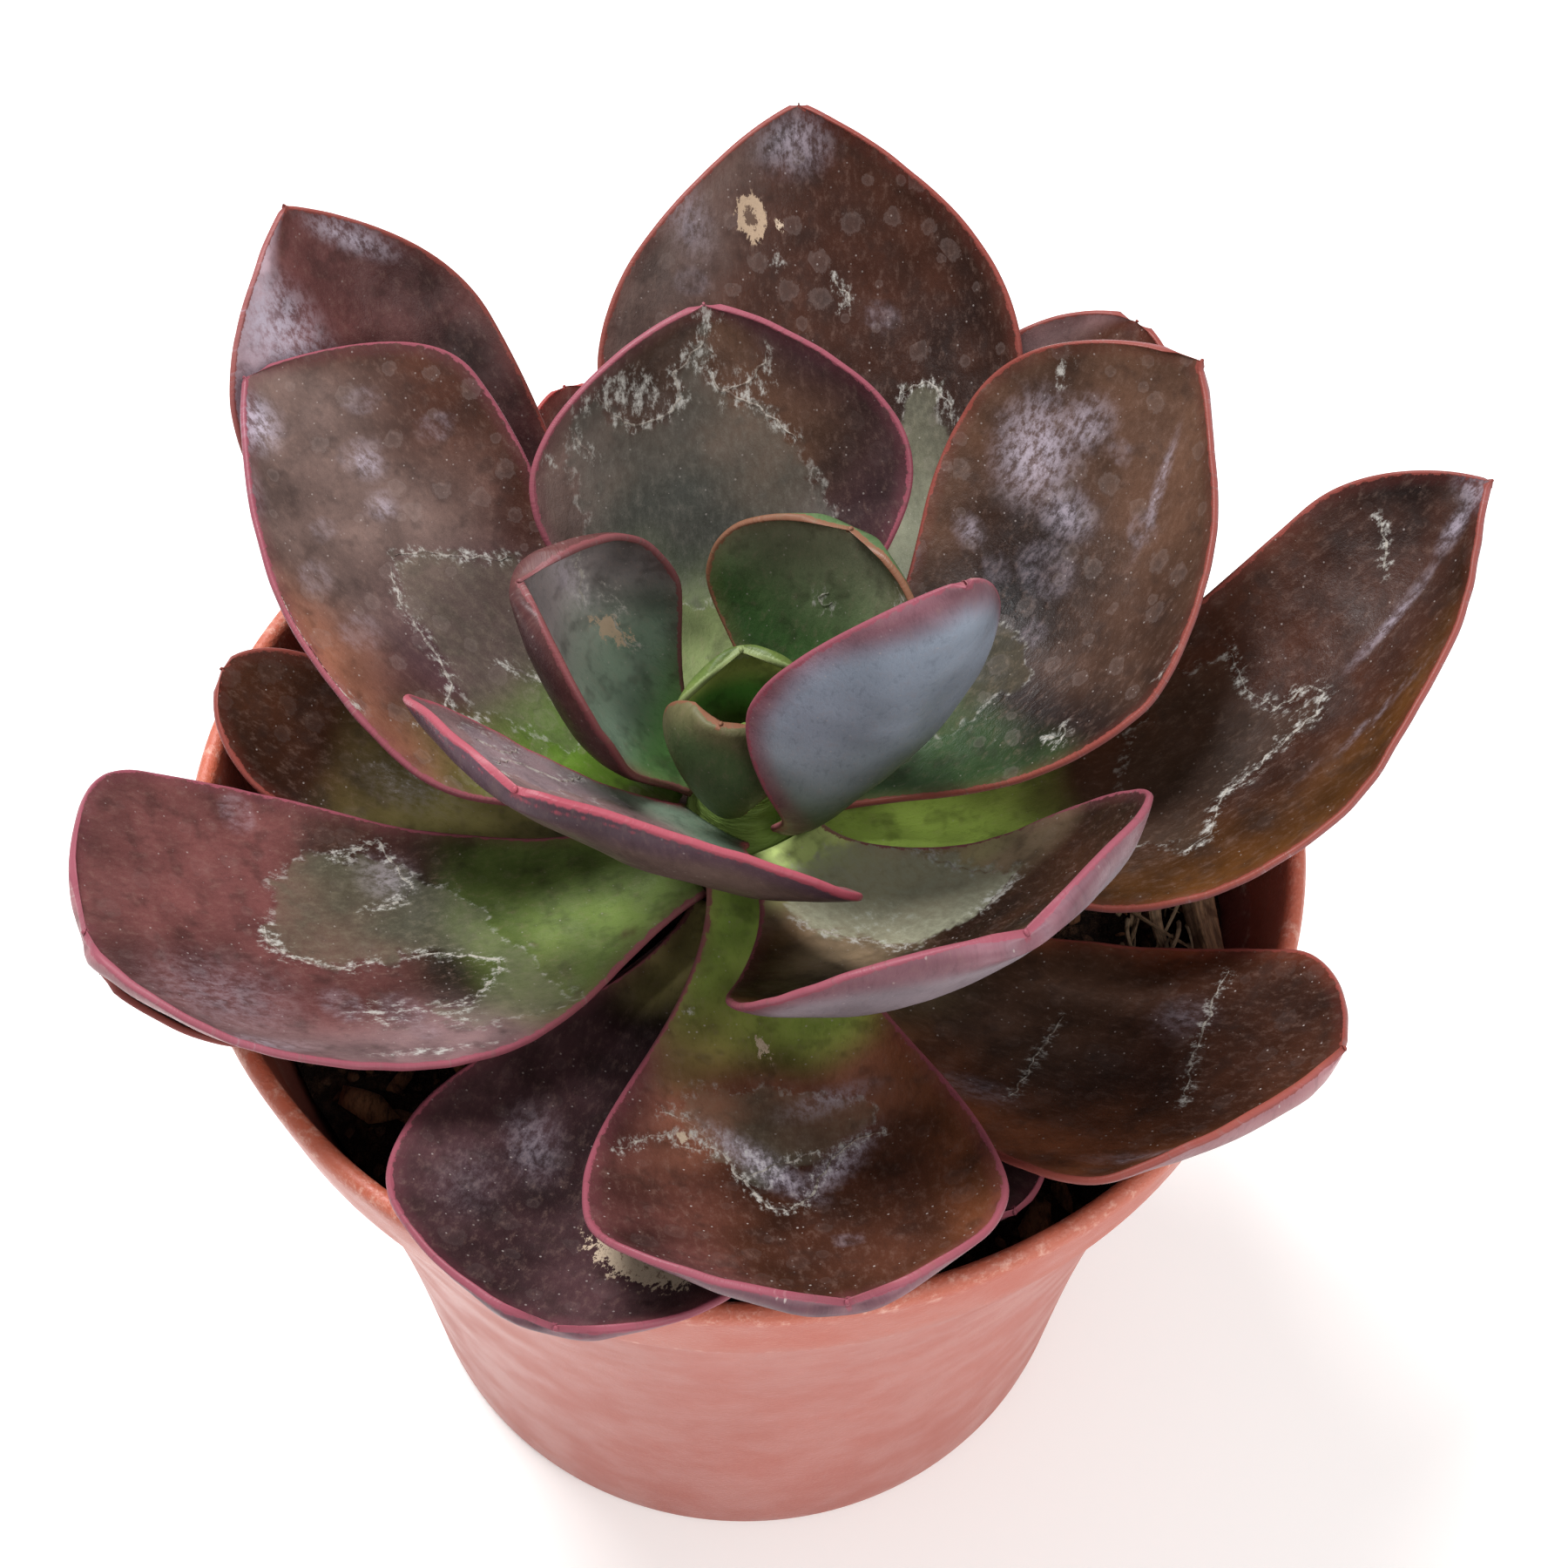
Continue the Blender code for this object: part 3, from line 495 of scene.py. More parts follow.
        face=MOSS, middle=MOSS, base=MOSS, rim=KHAKI, back=FERN, spots=0.1, specks=0.1),
    "heart_back": Skin(
        face=PALE_LIME, middle=SPRING, base=MOSS, rim=REED, back=PINE, back_edge=FERN, spots=0.1,
        specks=0.1,
        crust=((11, 0, 1, 2, 0, 0.8),)),
    "withered": Skin(
        face=DUSTY_ROSE, middle=DUSTY_ROSE, base=TAUPE, rim=DUSTY_ROSE, back=DUSTY_ROSE, back_edge=DOVE),
}



# Shader nodes

def tint(hex_code):
    """Linear colour of a screen colour."""
    screen = [int(hex_code[i:i + 2], 16) / 255 for i in (0, 2, 4)]
    return tuple(c / 12.92 if c <= 0.04045 else ((c + 0.055) / 1.055) ** 2.4 for c in screen) + (1.0,)


class Nodes:
    """The nodes of one material, written as calls. Any input may be a socket or a plain value."""

    def __init__(self, name, roughness=0.5):
        self.material = bpy.data.materials.new(name)
        self.material.use_nodes = True
        self.tree = self.material.node_tree
        self.shader = self.tree.nodes["Principled BSDF"]
        self.color = None
        self.set("Roughness", roughness)

    def feed(self, socket, value):
        if isinstance(value, bpy.types.NodeSocket):
            self.tree.links.new(value, socket)
        else:
            socket.default_value = value

    def set(self, name, value):
        self.feed(self.shader.inputs[name], value)

    def add(self, kind, inputs, **settings):
        """A new node with its settings, and a value for each input named by its label or its number."""
        node = self.tree.nodes.new("ShaderNode" + kind)
        for name, setting in settings.items():
            setattr(node, name, setting)
        for label, value in inputs.items():
            self.feed(node.inputs[label], value)
        return node

    def attribute(self, name, output="Fac"):
        return self.add("Attribute", {}, attribute_name=name).outputs[output]

    def place(self):
        """Where on its piece a point is, in millimetres."""
        return self.attribute("place_mm", "Vector")

    def math(self, operation, *values):
        return self.add("Math", dict(enumerate(values)), operation=operation).outputs[0]

    def plus(self, first, second):
        return self.math("ADD", first, second)

    def times(self, *factors):
        product = factors[0]
        for factor in factors[1:]:
            product = self.math("MULTIPLY", product, factor)
        return product

    def scaled(self, vector, factors):
        return self.add("VectorMath", {0: vector, 1: factors}, operation="MULTIPLY").outputs["Vector"]

    def ramp(self, value, start, end, low=0.0, high=1.0):
        """Smooth step from low at start to high at end."""
        ends = (start, end, low, high) if start < end else (end, start, high, low)
        inputs = dict(enumerate((value, *ends)))
        return self.add("MapRange", inputs, interpolation_type="SMOOTHSTEP").outputs["Result"]

    def ragged(self, value, grain, amount):
        """A value made uneven by a noise."""
        return self.plus(value, self.ramp(grain, 0.3, 0.7, -amount, amount))

    def near(self, value, middle, reach, full):
        """One where a value is closer to the middle than full, falling to zero at the reach."""
        return self.ramp(self.math("ABSOLUTE", self.math("SUBTRACT", value, middle)), reach, full)

    def lay(self, paint, *shares):
        """Lays a paint over the colour so far, as strongly as the product of the shares."""
        inputs = {0: self.times(*shares), 6: self.color, 7: tint(paint)}
        self.color = self.add("Mix", inputs, data_type="RGBA").outputs[2]

    def blend(self, paints, share):
        """Starts the colour with a blend of two paints."""
        self.color = tint(paints[0])
        self.lay(paints[1], share)

    def parts(self, vector):
        """The three numbers of a vector."""
        return tuple(self.add("SeparateXYZ", {0: vector}).outputs)

    def noise(self, where, scale, detail=2.0, roughness=0.5, flat=True):
        """Fractal noise, in two dimensions unless the place is a point in space."""
        inputs = {"Vector": where, "Scale": scale, "Detail": detail, "Roughness": roughness}
        return self.add("TexNoise", inputs, noise_dimensions="2D" if flat else "3D").outputs[0]

    def cells(self, where, scale):
        """Distance to the nearest cell centre, and two random values for each cell."""
        node = self.add("TexVoronoi", {"Vector": where, "Scale": scale}, voronoi_dimensions="2D")
        parts = self.add("SeparateColor", {0: node.outputs["Color"]})
        return node.outputs["Distance"], parts.outputs[0], parts.outputs[1]

    def finish(self, relief, depth_mm, specular=0.5):
        """Joins the colour and the relief to the shader."""
        self.set("Base Color", self.color)
        self.set("Specular IOR Level", specular)
        bump = self.add("Bump", {"Height": relief, "Distance": depth_mm * MM})
        self.set("Normal", bump.outputs["Normal"])
        return self.material


# Meshes

def smooth(x):
    x = np.clip(x, 0.0, 1.0)
    return x * x * (3.0 - 2.0 * x)


def polar(reach, azimuth, z):
    angle = math.radians(azimuth)
    return np.array([reach * math.cos(angle), reach * math.sin(angle), z])


def unit(vectors, smallest=1e-6):
    """Rows scaled to length one, unless they are shorter than the smallest length."""
    return vectors / np.maximum(np.linalg.norm(vectors, axis=-1, keepdims=True), smallest)


def run_length(line):
    """Length along a line up to each of its points."""
    return np.concatenate([[0.0], np.cumsum(np.linalg.norm(np.diff(line, axis=0), axis=1))])


def read_at(at, knots, columns):
    """Rows of a table read between its knots."""
    return np.stack([np.interp(at, knots, column) for column in columns.T], axis=-1)


def joined(parts):
    """Points and faces of several parts as one mesh."""
    points, faces = [], []
    first = 0
    for part_points, part_faces in parts:
        points.append(part_points)
        faces += [tuple(first + corner for corner in face) for face in part_faces]
        first += len(part_points)
    return np.concatenate(points), faces


def in_scene(name, data):
    made = bpy.data.objects.new(name, data)
    bpy.context.scene.collection.objects.link(made)
    return made


def piece(name, points, faces, material, slot, replaced, attributes=None):
    """A smooth mesh object in millimetres that stands for the named solid."""
    mesh = bpy.data.meshes.new(name)
    mesh.from_pydata((np.asarray(points, dtype=float) * MM).tolist(), [], faces)
    for label, values in {"place_mm": points, **(attributes or {})}.items():
        values = np.asarray(values, dtype=np.float32).reshape(len(points), -1)
        kind, entry = {1: ("FLOAT", "value"), 3: ("FLOAT_VECTOR", "vector"),
                       4: ("FLOAT_COLOR", "color")}[values.shape[1]]
        layer = mesh.attributes.new(label, kind, "POINT")
        layer.data.foreach_set(entry, values.ravel())
    mesh.validate()
    mesh.shade_smooth()
    mesh.materials.append(material)
    made = in_scene(name, mesh)
    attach(made, "root")
    if replaced:
        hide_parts(replaced)
    return made


def grid_faces(rows, columns, first=0, closed=False, flip=False):
    """Quads of a grid of points stored row by row."""
    index = first + np.arange(rows * columns).reshape(rows, columns)
    if closed:
        index = np.concatenate([index, index[:, :1]], axis=1)
    quads = np.stack([index[:-1, :-1], index[1:, :-1], index[1:, 1:], index[:-1, 1:]], axis=-1).reshape(-1, 4)
    return [tuple(quad) for quad in (quads[:, ::-1] if flip else quads).tolist()]


def turned(profile, sides):
    """Points and faces of a solid of revolution whose profile of (radius, height) ends on the axis."""
    angles = np.linspace(0.0, 2.0 * math.pi, sides, endpoint=False)
    rings = [np.stack([r * np.cos(angles), r * np.sin(angles), np.full(sides, z)], axis=-1)
             for r, z in profile[1:-1]]
    points = np.concatenate(rings + [[[0.0, 0.0, profile[0][1]]], [[0.0, 0.0, profile[-1][1]]]])
    count = len(rings)
    faces = grid_faces(count, sides, closed=True, flip=True)
    for j in range(sides):
        k = (j + 1) % sides
        faces.append((count * sides, k, j))
        faces.append((count * sides + 1, (count - 1) * sides + j, (count - 1) * sides + k))
    return points, faces


# Leaf skin: what is worked out point by point

def between(first, second, share):
    """Blend of two colours or colour fields, the share given point by point."""
    return first + (second - first) * np.asarray(share)[..., None]


def linear(hex_code):
    return np.array(tint(hex_code))


def noise_field(skin_mm, scale, seed):
    """Smooth noise of about -0.6 to 0.6 at each point of the skin."""
    places = skin_mm.reshape(-1, 3) * scale
    values = [noise.noise(Vector((x, y, 5.3 * seed))) for x, y, _ in places]
    return np.reshape(values, skin_mm.shape[:-1])


def face_colors(skin, along, across, drift):
    """Upper face before its marks: green root, olive middle, maroon end, tinted sides."""
    share = along + 0.16 * drift
    base_end, middle_start, face_start = skin.fade
    color = between(linear(skin.base), linear(skin.middle), ramp_up(share, base_end, middle_start))
    color = between(color, linear(skin.face), ramp_up(share, middle_start, face_start))
    sides = ramp_up(along, base_end, middle_start)
    if skin.left:
        color = between(color, linear(skin.left), sides * ramp_up(across + 0.3 * drift, 0.35, 0.95))
    if skin.right:
        color = between(color, linear(skin.right), sides * ramp_up(-across + 0.3 * drift, 0.35, 0.95))
    return color


def back_colors(skin, along, margin, drift):
    color = between(linear(skin.back_base), linear(skin.back), ramp_up(along + 0.2 * drift, 0.12, 0.6))
    return between(color, linear(skin.back_edge), ramp_up(-margin - 2.0 * drift, -3.4, -0.3))


def ramp_up(x, start, end):
    return smooth((x - start) / (end - start))


def edge_distance(places, outline, closed):
    """Distance from each place to a line through the outline's points, and whether it lies inside."""
    outline = np.array(outline, dtype=float)
    nearest = np.full(len(places), np.inf)
    inside = np.zeros(len(places), dtype=bool)
    following = np.roll(outline, -1, axis=0)
    for k in range(len(outline) if closed else len(outline) - 1):
        a, b = outline[k], following[k]
        way = b - a
        share = np.clip(((places - a) @ way) / max(way @ way, 1e-9), 0.0, 1.0)
        nearest = np.minimum(nearest, np.linalg.norm(places - a - share[:, None] * way, axis=1))
        crosses = (a[1] > places[:, 1]) != (b[1] > places[:, 1])
        height = way[1] if abs(way[1]) > 1e-9 else 1e-9
        inside ^= crosses & (places[:, 0] < a[0] + (places[:, 1] - a[1]) * way[0] / height)
    return nearest, inside


def patch_weight(places, along, across, length, width, turn, strength):
    """Strength at the middle of a patch, falling to zero at its edge."""
    turn = math.radians(turn)
    offset = places - (along, across)
    forward = offset[:, 0] * math.cos(turn) + offset[:, 1] * math.sin(turn)
    sideways = offset[:, 1] * math.cos(turn) - offset[:, 0] * math.sin(turn)
    return strength * (1.0 - smooth(np.hypot(forward / length, sideways / width) / 1.35))


def skin_fields(skin, places):
    """Film depth, sheen and crust, then shade, dead skin and scar, at each place of the upper face."""
    film = np.full(len(places), -FAR_OFF)
    for outline in skin.films:
        apart, inside = edge_distance(places, outline, True)
        film = np.maximum(film, np.where(inside, apart, -apart))
    marks = {kind: np.zeros(len(places)) for kind in PATCH_KINDS}
    for kind in PATCH_KINDS:
        for patch in getattr(skin, kind):
            marks[kind] = np.maximum(marks[kind], patch_weight(places, *patch))
    for along, across, radius in skin.rings:
        reach = np.hypot(places[:, 0] - along, 0.8 * (places[:, 1] - across)) / radius
        disc = RING_HAZE * (1.0 - smooth((reach - 0.8) / 0.4)) * (0.5 + 0.5 * smooth((reach - 0.3) / 0.6))
        marks["sheen"] = np.maximum(marks["sheen"], disc)
    for line in skin.threads:
        apart = edge_distance(places, line, False)[0]
        marks["crust"] = np.maximum(marks["crust"], THREAD_HALO * (1.0 - smooth(apart / HALO_REACH)))
    coating_and_sheen = np.stack([np.clip(film, -FAR_OFF, FAR_OFF), marks["sheen"], marks["crust"]], axis=-1)
    return coating_and_sheen, np.stack([marks["shade"], marks["dead"], marks["scar"]], axis=-1)


# Leaf skin: its shader

def water_spots(nodes, skin, place, upward, smear):
    """Dried drops, faint discs with paler rims, and white flecks."""
    apart, chance, spread = nodes.cells(place, 0.26)
    near = nodes.math("DIVIDE", apart, nodes.ramp(spread, 0.0, 1.0, 0.14, 0.36))
    near = nodes.ragged(near, smear, 0.25)
    chosen = nodes.math("GREATER_THAN", chance, 0.5)
    paler_rim = nodes.ramp(near, 0.3, 1.0, 0.5, 1.0)
    nodes.lay(WATER_SPOT, nodes.ramp(near, 1.05, 0.85), chosen, upward, paler_rim, 0.11 * skin.spots)
    apart, chance, spread = nodes.cells(place, 1.15)
    near = nodes.math("DIVIDE", apart, nodes.ramp(spread, 0.0, 1.0, 0.05, 0.18))
    nodes.lay(FLECK, nodes.ramp(near, 1.0, 0.4), nodes.ramp(chance, 0.8, 1.0), 0.7 * skin.specks)


def coat_and_sheen(nodes, skin, smear, broad):
    """Lays the dried film, its pale border, the sheen and the white crust; gives where the film is. The sheen
    is waxy bloom with a painted reflection of the light.
    """
    film, sheen, crust = nodes.parts(nodes.attribute("coating_and_sheen", "Vector"))
    edge = nodes.ragged(film, broad, 0.9)
    inside = nodes.ramp(edge, -0.4, 0.9)
    nodes.lay(skin.film, inside, nodes.ramp(smear, 0.3, 0.75, 0.6, 1.0), skin.haze)
    nodes.lay(FILM_EDGE, nodes.near(edge, 0.0, 0.6, 0.05), nodes.ramp(smear, 0.45, 0.65), 0.3)
    # painted sheen: waxy bloom with the reflection of the light painted in, streaked by the smear noise; the
    # dried drops are laid in it too
    nodes.lay(WAX_BLOOM_AND_SHEEN, sheen, nodes.ramp(smear, 0.34, 0.64, 0.15, 1.0), 0.85)
    crumbly = nodes.ramp(nodes.plus(smear, nodes.times(crust, 0.32)), 0.6, 0.9)
    nodes.lay(FILM_EDGE, crumbly, nodes.ramp(crust, 0.0, 0.3), 0.75)
    return inside


def wounded_and_shaded(nodes, smear):
    """Lays the shade patches, painted shade and dark dry spots in a dry brown, then the dead skin and the
    scars over the colour.
    """
    shade, dead, scar = nodes.parts(nodes.attribute("wounds_and_shade", "Vector"))
    # painted shade and dark dry spots
    nodes.lay(DRY_AND_SHADE, shade)
    nodes.lay(DEAD_SKIN, nodes.ramp(nodes.ragged(dead, smear, 0.3), 0.3, 0.45))
    nodes.lay(DEAD_SPECK, dead, nodes.ramp(smear, 0.56, 0.66), 0.8)
    torn = nodes.ragged(scar, smear, 0.18)
    nodes.lay(TAN, nodes.ramp(torn, 0.22, 0.34, 0.0, 0.8))
    nodes.lay(DRY_AND_SHADE, nodes.ramp(torn, 0.72, 0.84, 0.0, 0.9))


def leaf_material(name, skin):
    nodes = Nodes("skin_" + name)
    place = nodes.attribute("blade_mm", "Vector")
    margin, under, thread = nodes.parts(nodes.attribute("edge", "Vector"))
    broad = nodes.noise(place, 0.3, 2.0, 0.65)
    smear = nodes.noise(nodes.scaled(place, (0.55, 1.0, 1.0)), 1.1, 4.0, 0.75)
    upward = nodes.ramp(under, 0.6, 0.2)
    nodes.color = nodes.attribute("ground", "Color")
    nodes.lay(SMUDGE, upward, nodes.ramp(broad, 0.5, 0.75, 0.0, 0.35))
    nodes.lay(PALE_STREAK, nodes.ramp(smear, 0.48, 0.8, 0.0, 0.16))
    nodes.lay(DARK_STREAK, nodes.ramp(smear, 0.5, 0.25, 0.0, 0.2))
    water_spots(nodes, skin, place, upward, smear)
    inside = coat_and_sheen(nodes, skin, smear, broad)
    wounded_and_shaded(nodes, smear)
    wobble = nodes.ragged(margin, smear, 0.18)
    nodes.lay(skin.rim, upward, nodes.ramp(wobble, 2.0, 0.2, 0.0, 0.14))
    nodes.lay(skin.rim, nodes.ramp(wobble, skin.rim_width, 0.1, 0.0, 0.85))
    nodes.lay(CRINKLE, thread, nodes.ramp(smear, 0.38, 0.62, 0.1, 0.75))
    nodes.set("Roughness", nodes.plus(nodes.ramp(broad, 0.3, 0.7, 0.36, 0.5), nodes.times(inside, 0.12)))
    return nodes.finish(smear, 0.08, specular=0.16)


# Leaves

def stem_radius(z):
    heights = [height for radius, height in STEM_PROFILE]
    radii = [radius for radius, height in STEM_PROFILE]
    return float(np.interp(z, heights, radii))


def midrib(leaf, s):
    """Points, unit tangents, heading and length of the midrib at the shares s of its length."""
    root_z, root_azimuth = leaf.root
    end = polar(*leaf.tip)
    chord = end - polar(stem_radius(root_z), root_azimuth, root_z)
    climb = math.atan2(chord[2], math.hypot(chord[0], chord[1])) - SAG_SHARE * math.atan(4.0 * leaf.sag)
    heading = math.radians(root_azimuth)
    low_edge = stem_radius(root_z - leaf.thick * math.cos(climb)) - leaf.thick * math.sin(climb)
    start = polar(max(stem_radius(root_z), low_edge) + ROOT_GAP, root_azimuth, root_z)
    chord = end - start
    first_way = np.array([math.cos(climb) * math.cos(heading), math.cos(climb) * math.sin(heading),
                          math.sin(climb)])
    knee = start + 0.5 * np.linalg.norm(chord) * first_way
    u = np.linspace(0.0, 1.0, MIDRIB_POINTS)[:, None]
    line = (1 - u) ** 2 * start + 2 * u * (1 - u) * knee + u ** 2 * end
    slope = 2 * (1 - u) * (knee - start) + 2 * u * (end - knee)
    run = run_length(line)
    points = read_at(s, run / run[-1], line)
    tangents = unit(read_at(s, run / run[-1], slope))
    far = math.hypot(chord[0], chord[1]) > SHORT_REACH
    end_azimuth = math.degrees(math.atan2(chord[1], chord[0])) if far else leaf.tip[1]
    turn = (end_azimuth - root_azimuth + 180.0) % 360.0 - 180.0
    return points, tangents, np.radians(root_azimuth + HEADING_GAIN * turn * s), run[-1]


def half_width(leaf, half, s):
    """Half width of one side of the blade at the shares s."""
    width, point = half[0], half[2]
    widest = half[3] if len(half) > 3 else leaf.widest
    power = max(2.0, 3.6 - 2.0 * point)
    rise = np.sin(0.5 * math.pi * np.clip(s / widest, 0, 1)) ** WIDTH_RISE
    beyond = np.clip((s - widest) / (1.0 - widest), 0, 1)
    body = leaf.neck + (width - leaf.neck) * rise
    end = width * (1.0 - beyond ** power) ** point
    return np.maximum(np.where(s < widest, body, end), 0.5)


def blade(leaf, stations, across):
    """Upper and lower faces of a leaf as grids of points, their places in millimetres of skin, the shares
    of the length row by row, and the normals of the upper face.
    """
    s = 1.0 - (1.0 - np.linspace(0.0, 1.0, stations + 1)) ** TIP_CROWDING
    x = np.linspace(-1.0, 1.0, across + 1)
    t = x * (1.5 - 0.5 * x * x)
    points, tangents, heading, length = midrib(leaf, s)
    level = np.stack([-np.sin(heading), np.cos(heading), 0 * heading], axis=-1)
    side = unit(level - (level * tangents).sum(axis=1)[:, None] * tangents)
    normal = np.cross(tangents, side)
    roll = math.radians(leaf.roll) * smooth(s / ROLL_SHARE)[:, None]
    left_way = side * np.cos(roll) + normal * np.sin(roll)
    up_way = normal * np.cos(roll) - side * np.sin(roll)
    upper = np.zeros((stations + 1, across + 1, 3))
    skin_mm = np.zeros_like(upper)
    for j, share in enumerate(t):
        half = leaf.left if share > 0 else leaf.right
        full = half_width(leaf, half, s)
        reach = np.maximum(full - 0.45 * EDGE, 0.12)
        cup = np.radians(half[1]) * (0.5 + 0.5 * smooth(s / CUP_SHARE))
        out = np.sin(cup * abs(share)) / cup * reach * np.sign(share)
        lift = (1.0 - np.cos(cup * abs(share))) / cup * reach
        upper[:, j] = points + left_way * out[:, None] + up_way * lift[:, None]
        skin_mm[:, j, 0] = s * length
        skin_mm[:, j, 1] = share * reach
    facing = unit(np.cross(np.gradient(upper, axis=0), np.gradient(upper, axis=1)), 1e-9)
    facing[-2:] = facing[-3, across // 2]
    width = 0.5 * (half_width(leaf, leaf.left, s) + half_width(leaf, leaf.right, s))
    middle = leaf.thick * (1.0 - THINNING * s) * np.minimum(1.0, width / (0.35 * width.max()))
    depth = EDGE + np.clip(middle - EDGE, 0, None)[:, None] * (1.0 - np.abs(t) ** CROWN)[None, :]
    lower = upper - facing * depth[..., None]
    return upper, lower, skin_mm, s, facing


def perimeter(rows, columns):
    """Indices of a grid's border, once round."""
    index = np.arange(rows * columns).reshape(rows, columns)
    return np.concatenate([index[:, 0], index[-1, 1:], index[-2::-1, -1], index[0, -2:0:-1]])


def grid_size(leaf):
    """Spans along and across a blade that keep its cells near the set size."""
    length = midrib(leaf, np.linspace(0.0, 1.0, 9))[3]
    width = sum(half_width(leaf, half, np.linspace(0.0, 1.0, 40)).max() for half in (leaf.left, leaf.right))
    return max(24, round(length / CELL_MM)), max(24, 2 * round(0.55 * width / CELL_MM))


def leaf_relief(upper, lower, facing, skin_mm, seed):
    """Soft dents, the same on both faces so that the blade keeps its thickness."""
    dents = sum(depth * noise_field(skin_mm, scale, seed) for depth, scale in DENTS)
    dents = np.clip(dents, -DEEPEST_DENT, DEEPEST_DENT) * smooth(skin_mm[..., 0] / FLAT_ROOT)
    return upper + facing * dents[..., None], lower + facing * dents[..., None]


def on_skin(upper, facing, skin_mm, path):
    """Points and normals of the upper face at places given in millimetres along and across."""
    layers = np.concatenate([upper, facing, skin_mm[..., 1:2]], axis=-1)
    rows = np.interp(path[:, 0], skin_mm[:, 0, 0], np.arange(len(upper)))
    found = []
    for row, across in zip(rows, path[:, 1]):
        low = min(int(row), len(upper) - 2)
        line = layers[low] + (layers[low + 1] - layers[low]) * (row - low)
        found.append(read_at(across, line[:, 6], line[:, :6]))
    found = np.array(found)
    return found[:, :3], found[:, 3:]


def thread_strip(upper, facing, skin_mm, line, draw):
    """A thin raised crinkle along a line on the skin, as rows of foot, crest and foot."""
    line = np.array(line, dtype=float)
    run = run_length(line)
    steps = max(3, int(run[-1] / THREAD_STEP))
    at = np.linspace(0.0, run[-1], steps + 1)
    path = read_at(at, run, line)
    sway = np.convolve(draw.uniform(-1.0, 1.0, steps + 3), (0.5, 1.0, 0.5), "valid")
    way = unit(np.gradient(path, axis=0))
    cross = np.stack([-way[:, 1], way[:, 0]], axis=-1)
    path = path + cross * (THREAD_SWAY * sway)[:, None]
    taper = np.minimum(1.0, 0.3 + 2.5 * np.minimum(at, run[-1] - at) / max(run[-1], 1e-6))
    half = taper * draw.uniform(*THREAD_HALF_WIDTH, steps + 1)
    rows = []
    for offset, lift in THREAD_ROWS:
        points, normals = on_skin(upper, facing, skin_mm, path + cross * (offset * half)[:, None])
        rows.append(points + normals * lift)
    return np.stack(rows, axis=1).reshape(-1, 3), np.repeat(path, 3, axis=0)


def rim_rings(upper, lower, border):
    """Rows of points round the rounded edge, from the upper face to the lower one."""
    rows, columns = upper.shape[:2]
    tops, bottoms = upper.reshape(-1, 3)[border], lower.reshape(-1, 3)[border]
    middle = 0.5 * (tops + bottoms)
    half_gap = 0.5 * (tops - bottoms)
    inner_rows = np.clip(np.arange(rows), 0, rows - 3)
    inner_columns = np.clip(np.arange(columns), 3, columns - 4)
    outward = tops - upper[inner_rows][:, inner_columns].reshape(-1, 3)[border]
    outward -= (outward * half_gap).sum(axis=1)[:, None] * half_gap / (half_gap ** 2).sum(axis=1)[:, None]
    bulge = unit(outward) * np.linalg.norm(half_gap, axis=1)[:, None] * RIM_BULGE
    angles = [math.pi * step / (RIM_STEPS + 1) for step in range(1, RIM_STEPS + 1)]
    return [middle + half_gap * math.cos(angle) + bulge * math.sin(angle) for angle in angles]


def shell_faces(rows, columns, border):
    """Quads of the upper face, the lower face and the rounded edge that joins them."""
    size = rows * columns
    faces = grid_faces(rows, columns) + grid_faces(rows, columns, first=size, flip=True)
    loops = [border] + [2 * size + k * len(border) + np.arange(len(border)) for k in range(RIM_STEPS)]
    loops.append(border + size)
    for here, below in zip(loops, loops[1:]):
        quads = np.stack([here, below, np.roll(below, -1), np.roll(here, -1)], axis=-1)
        faces += [tuple(quad) for quad in quads.tolist()]
    return faces


def margin_distance(tops, border, rows, columns):
    """Distance of each point of the upper face from the margin, the root left out."""
    outline = tops[border[:2 * (rows - 1) + columns]]
    near = [np.linalg.norm(outline[None] - tops[i:i + BATCH, None], axis=2).min(axis=1)
            for i in range(0, len(tops), BATCH)]
    return np.concatenate(near)


def skin_part(points, places, margin, under, thread, ground, coating_and_sheen=BARE, wounds_and_shade=(0.0, 0.0, 0.0)):
    """A run of points of a leaf with what the skin's shader reads there."""
    count = len(points)
    return {"points": points, "blade_mm": places, "ground": ground,
            "edge": np.column_stack([np.broadcast_to(value, count) for value in (margin, under, thread)]),
            "coating_and_sheen": np.broadcast_to(coating_and_sheen, (count, 3)), "wounds_and_shade": np.broadcast_to(wounds_and_shade, (count, 3))}


def leaf_slot(name):
    if name == "withered":
        return "leaf_withered"
    return "leaf_green" if name.startswith(("inner", "heart")) else "leaf_maroon"


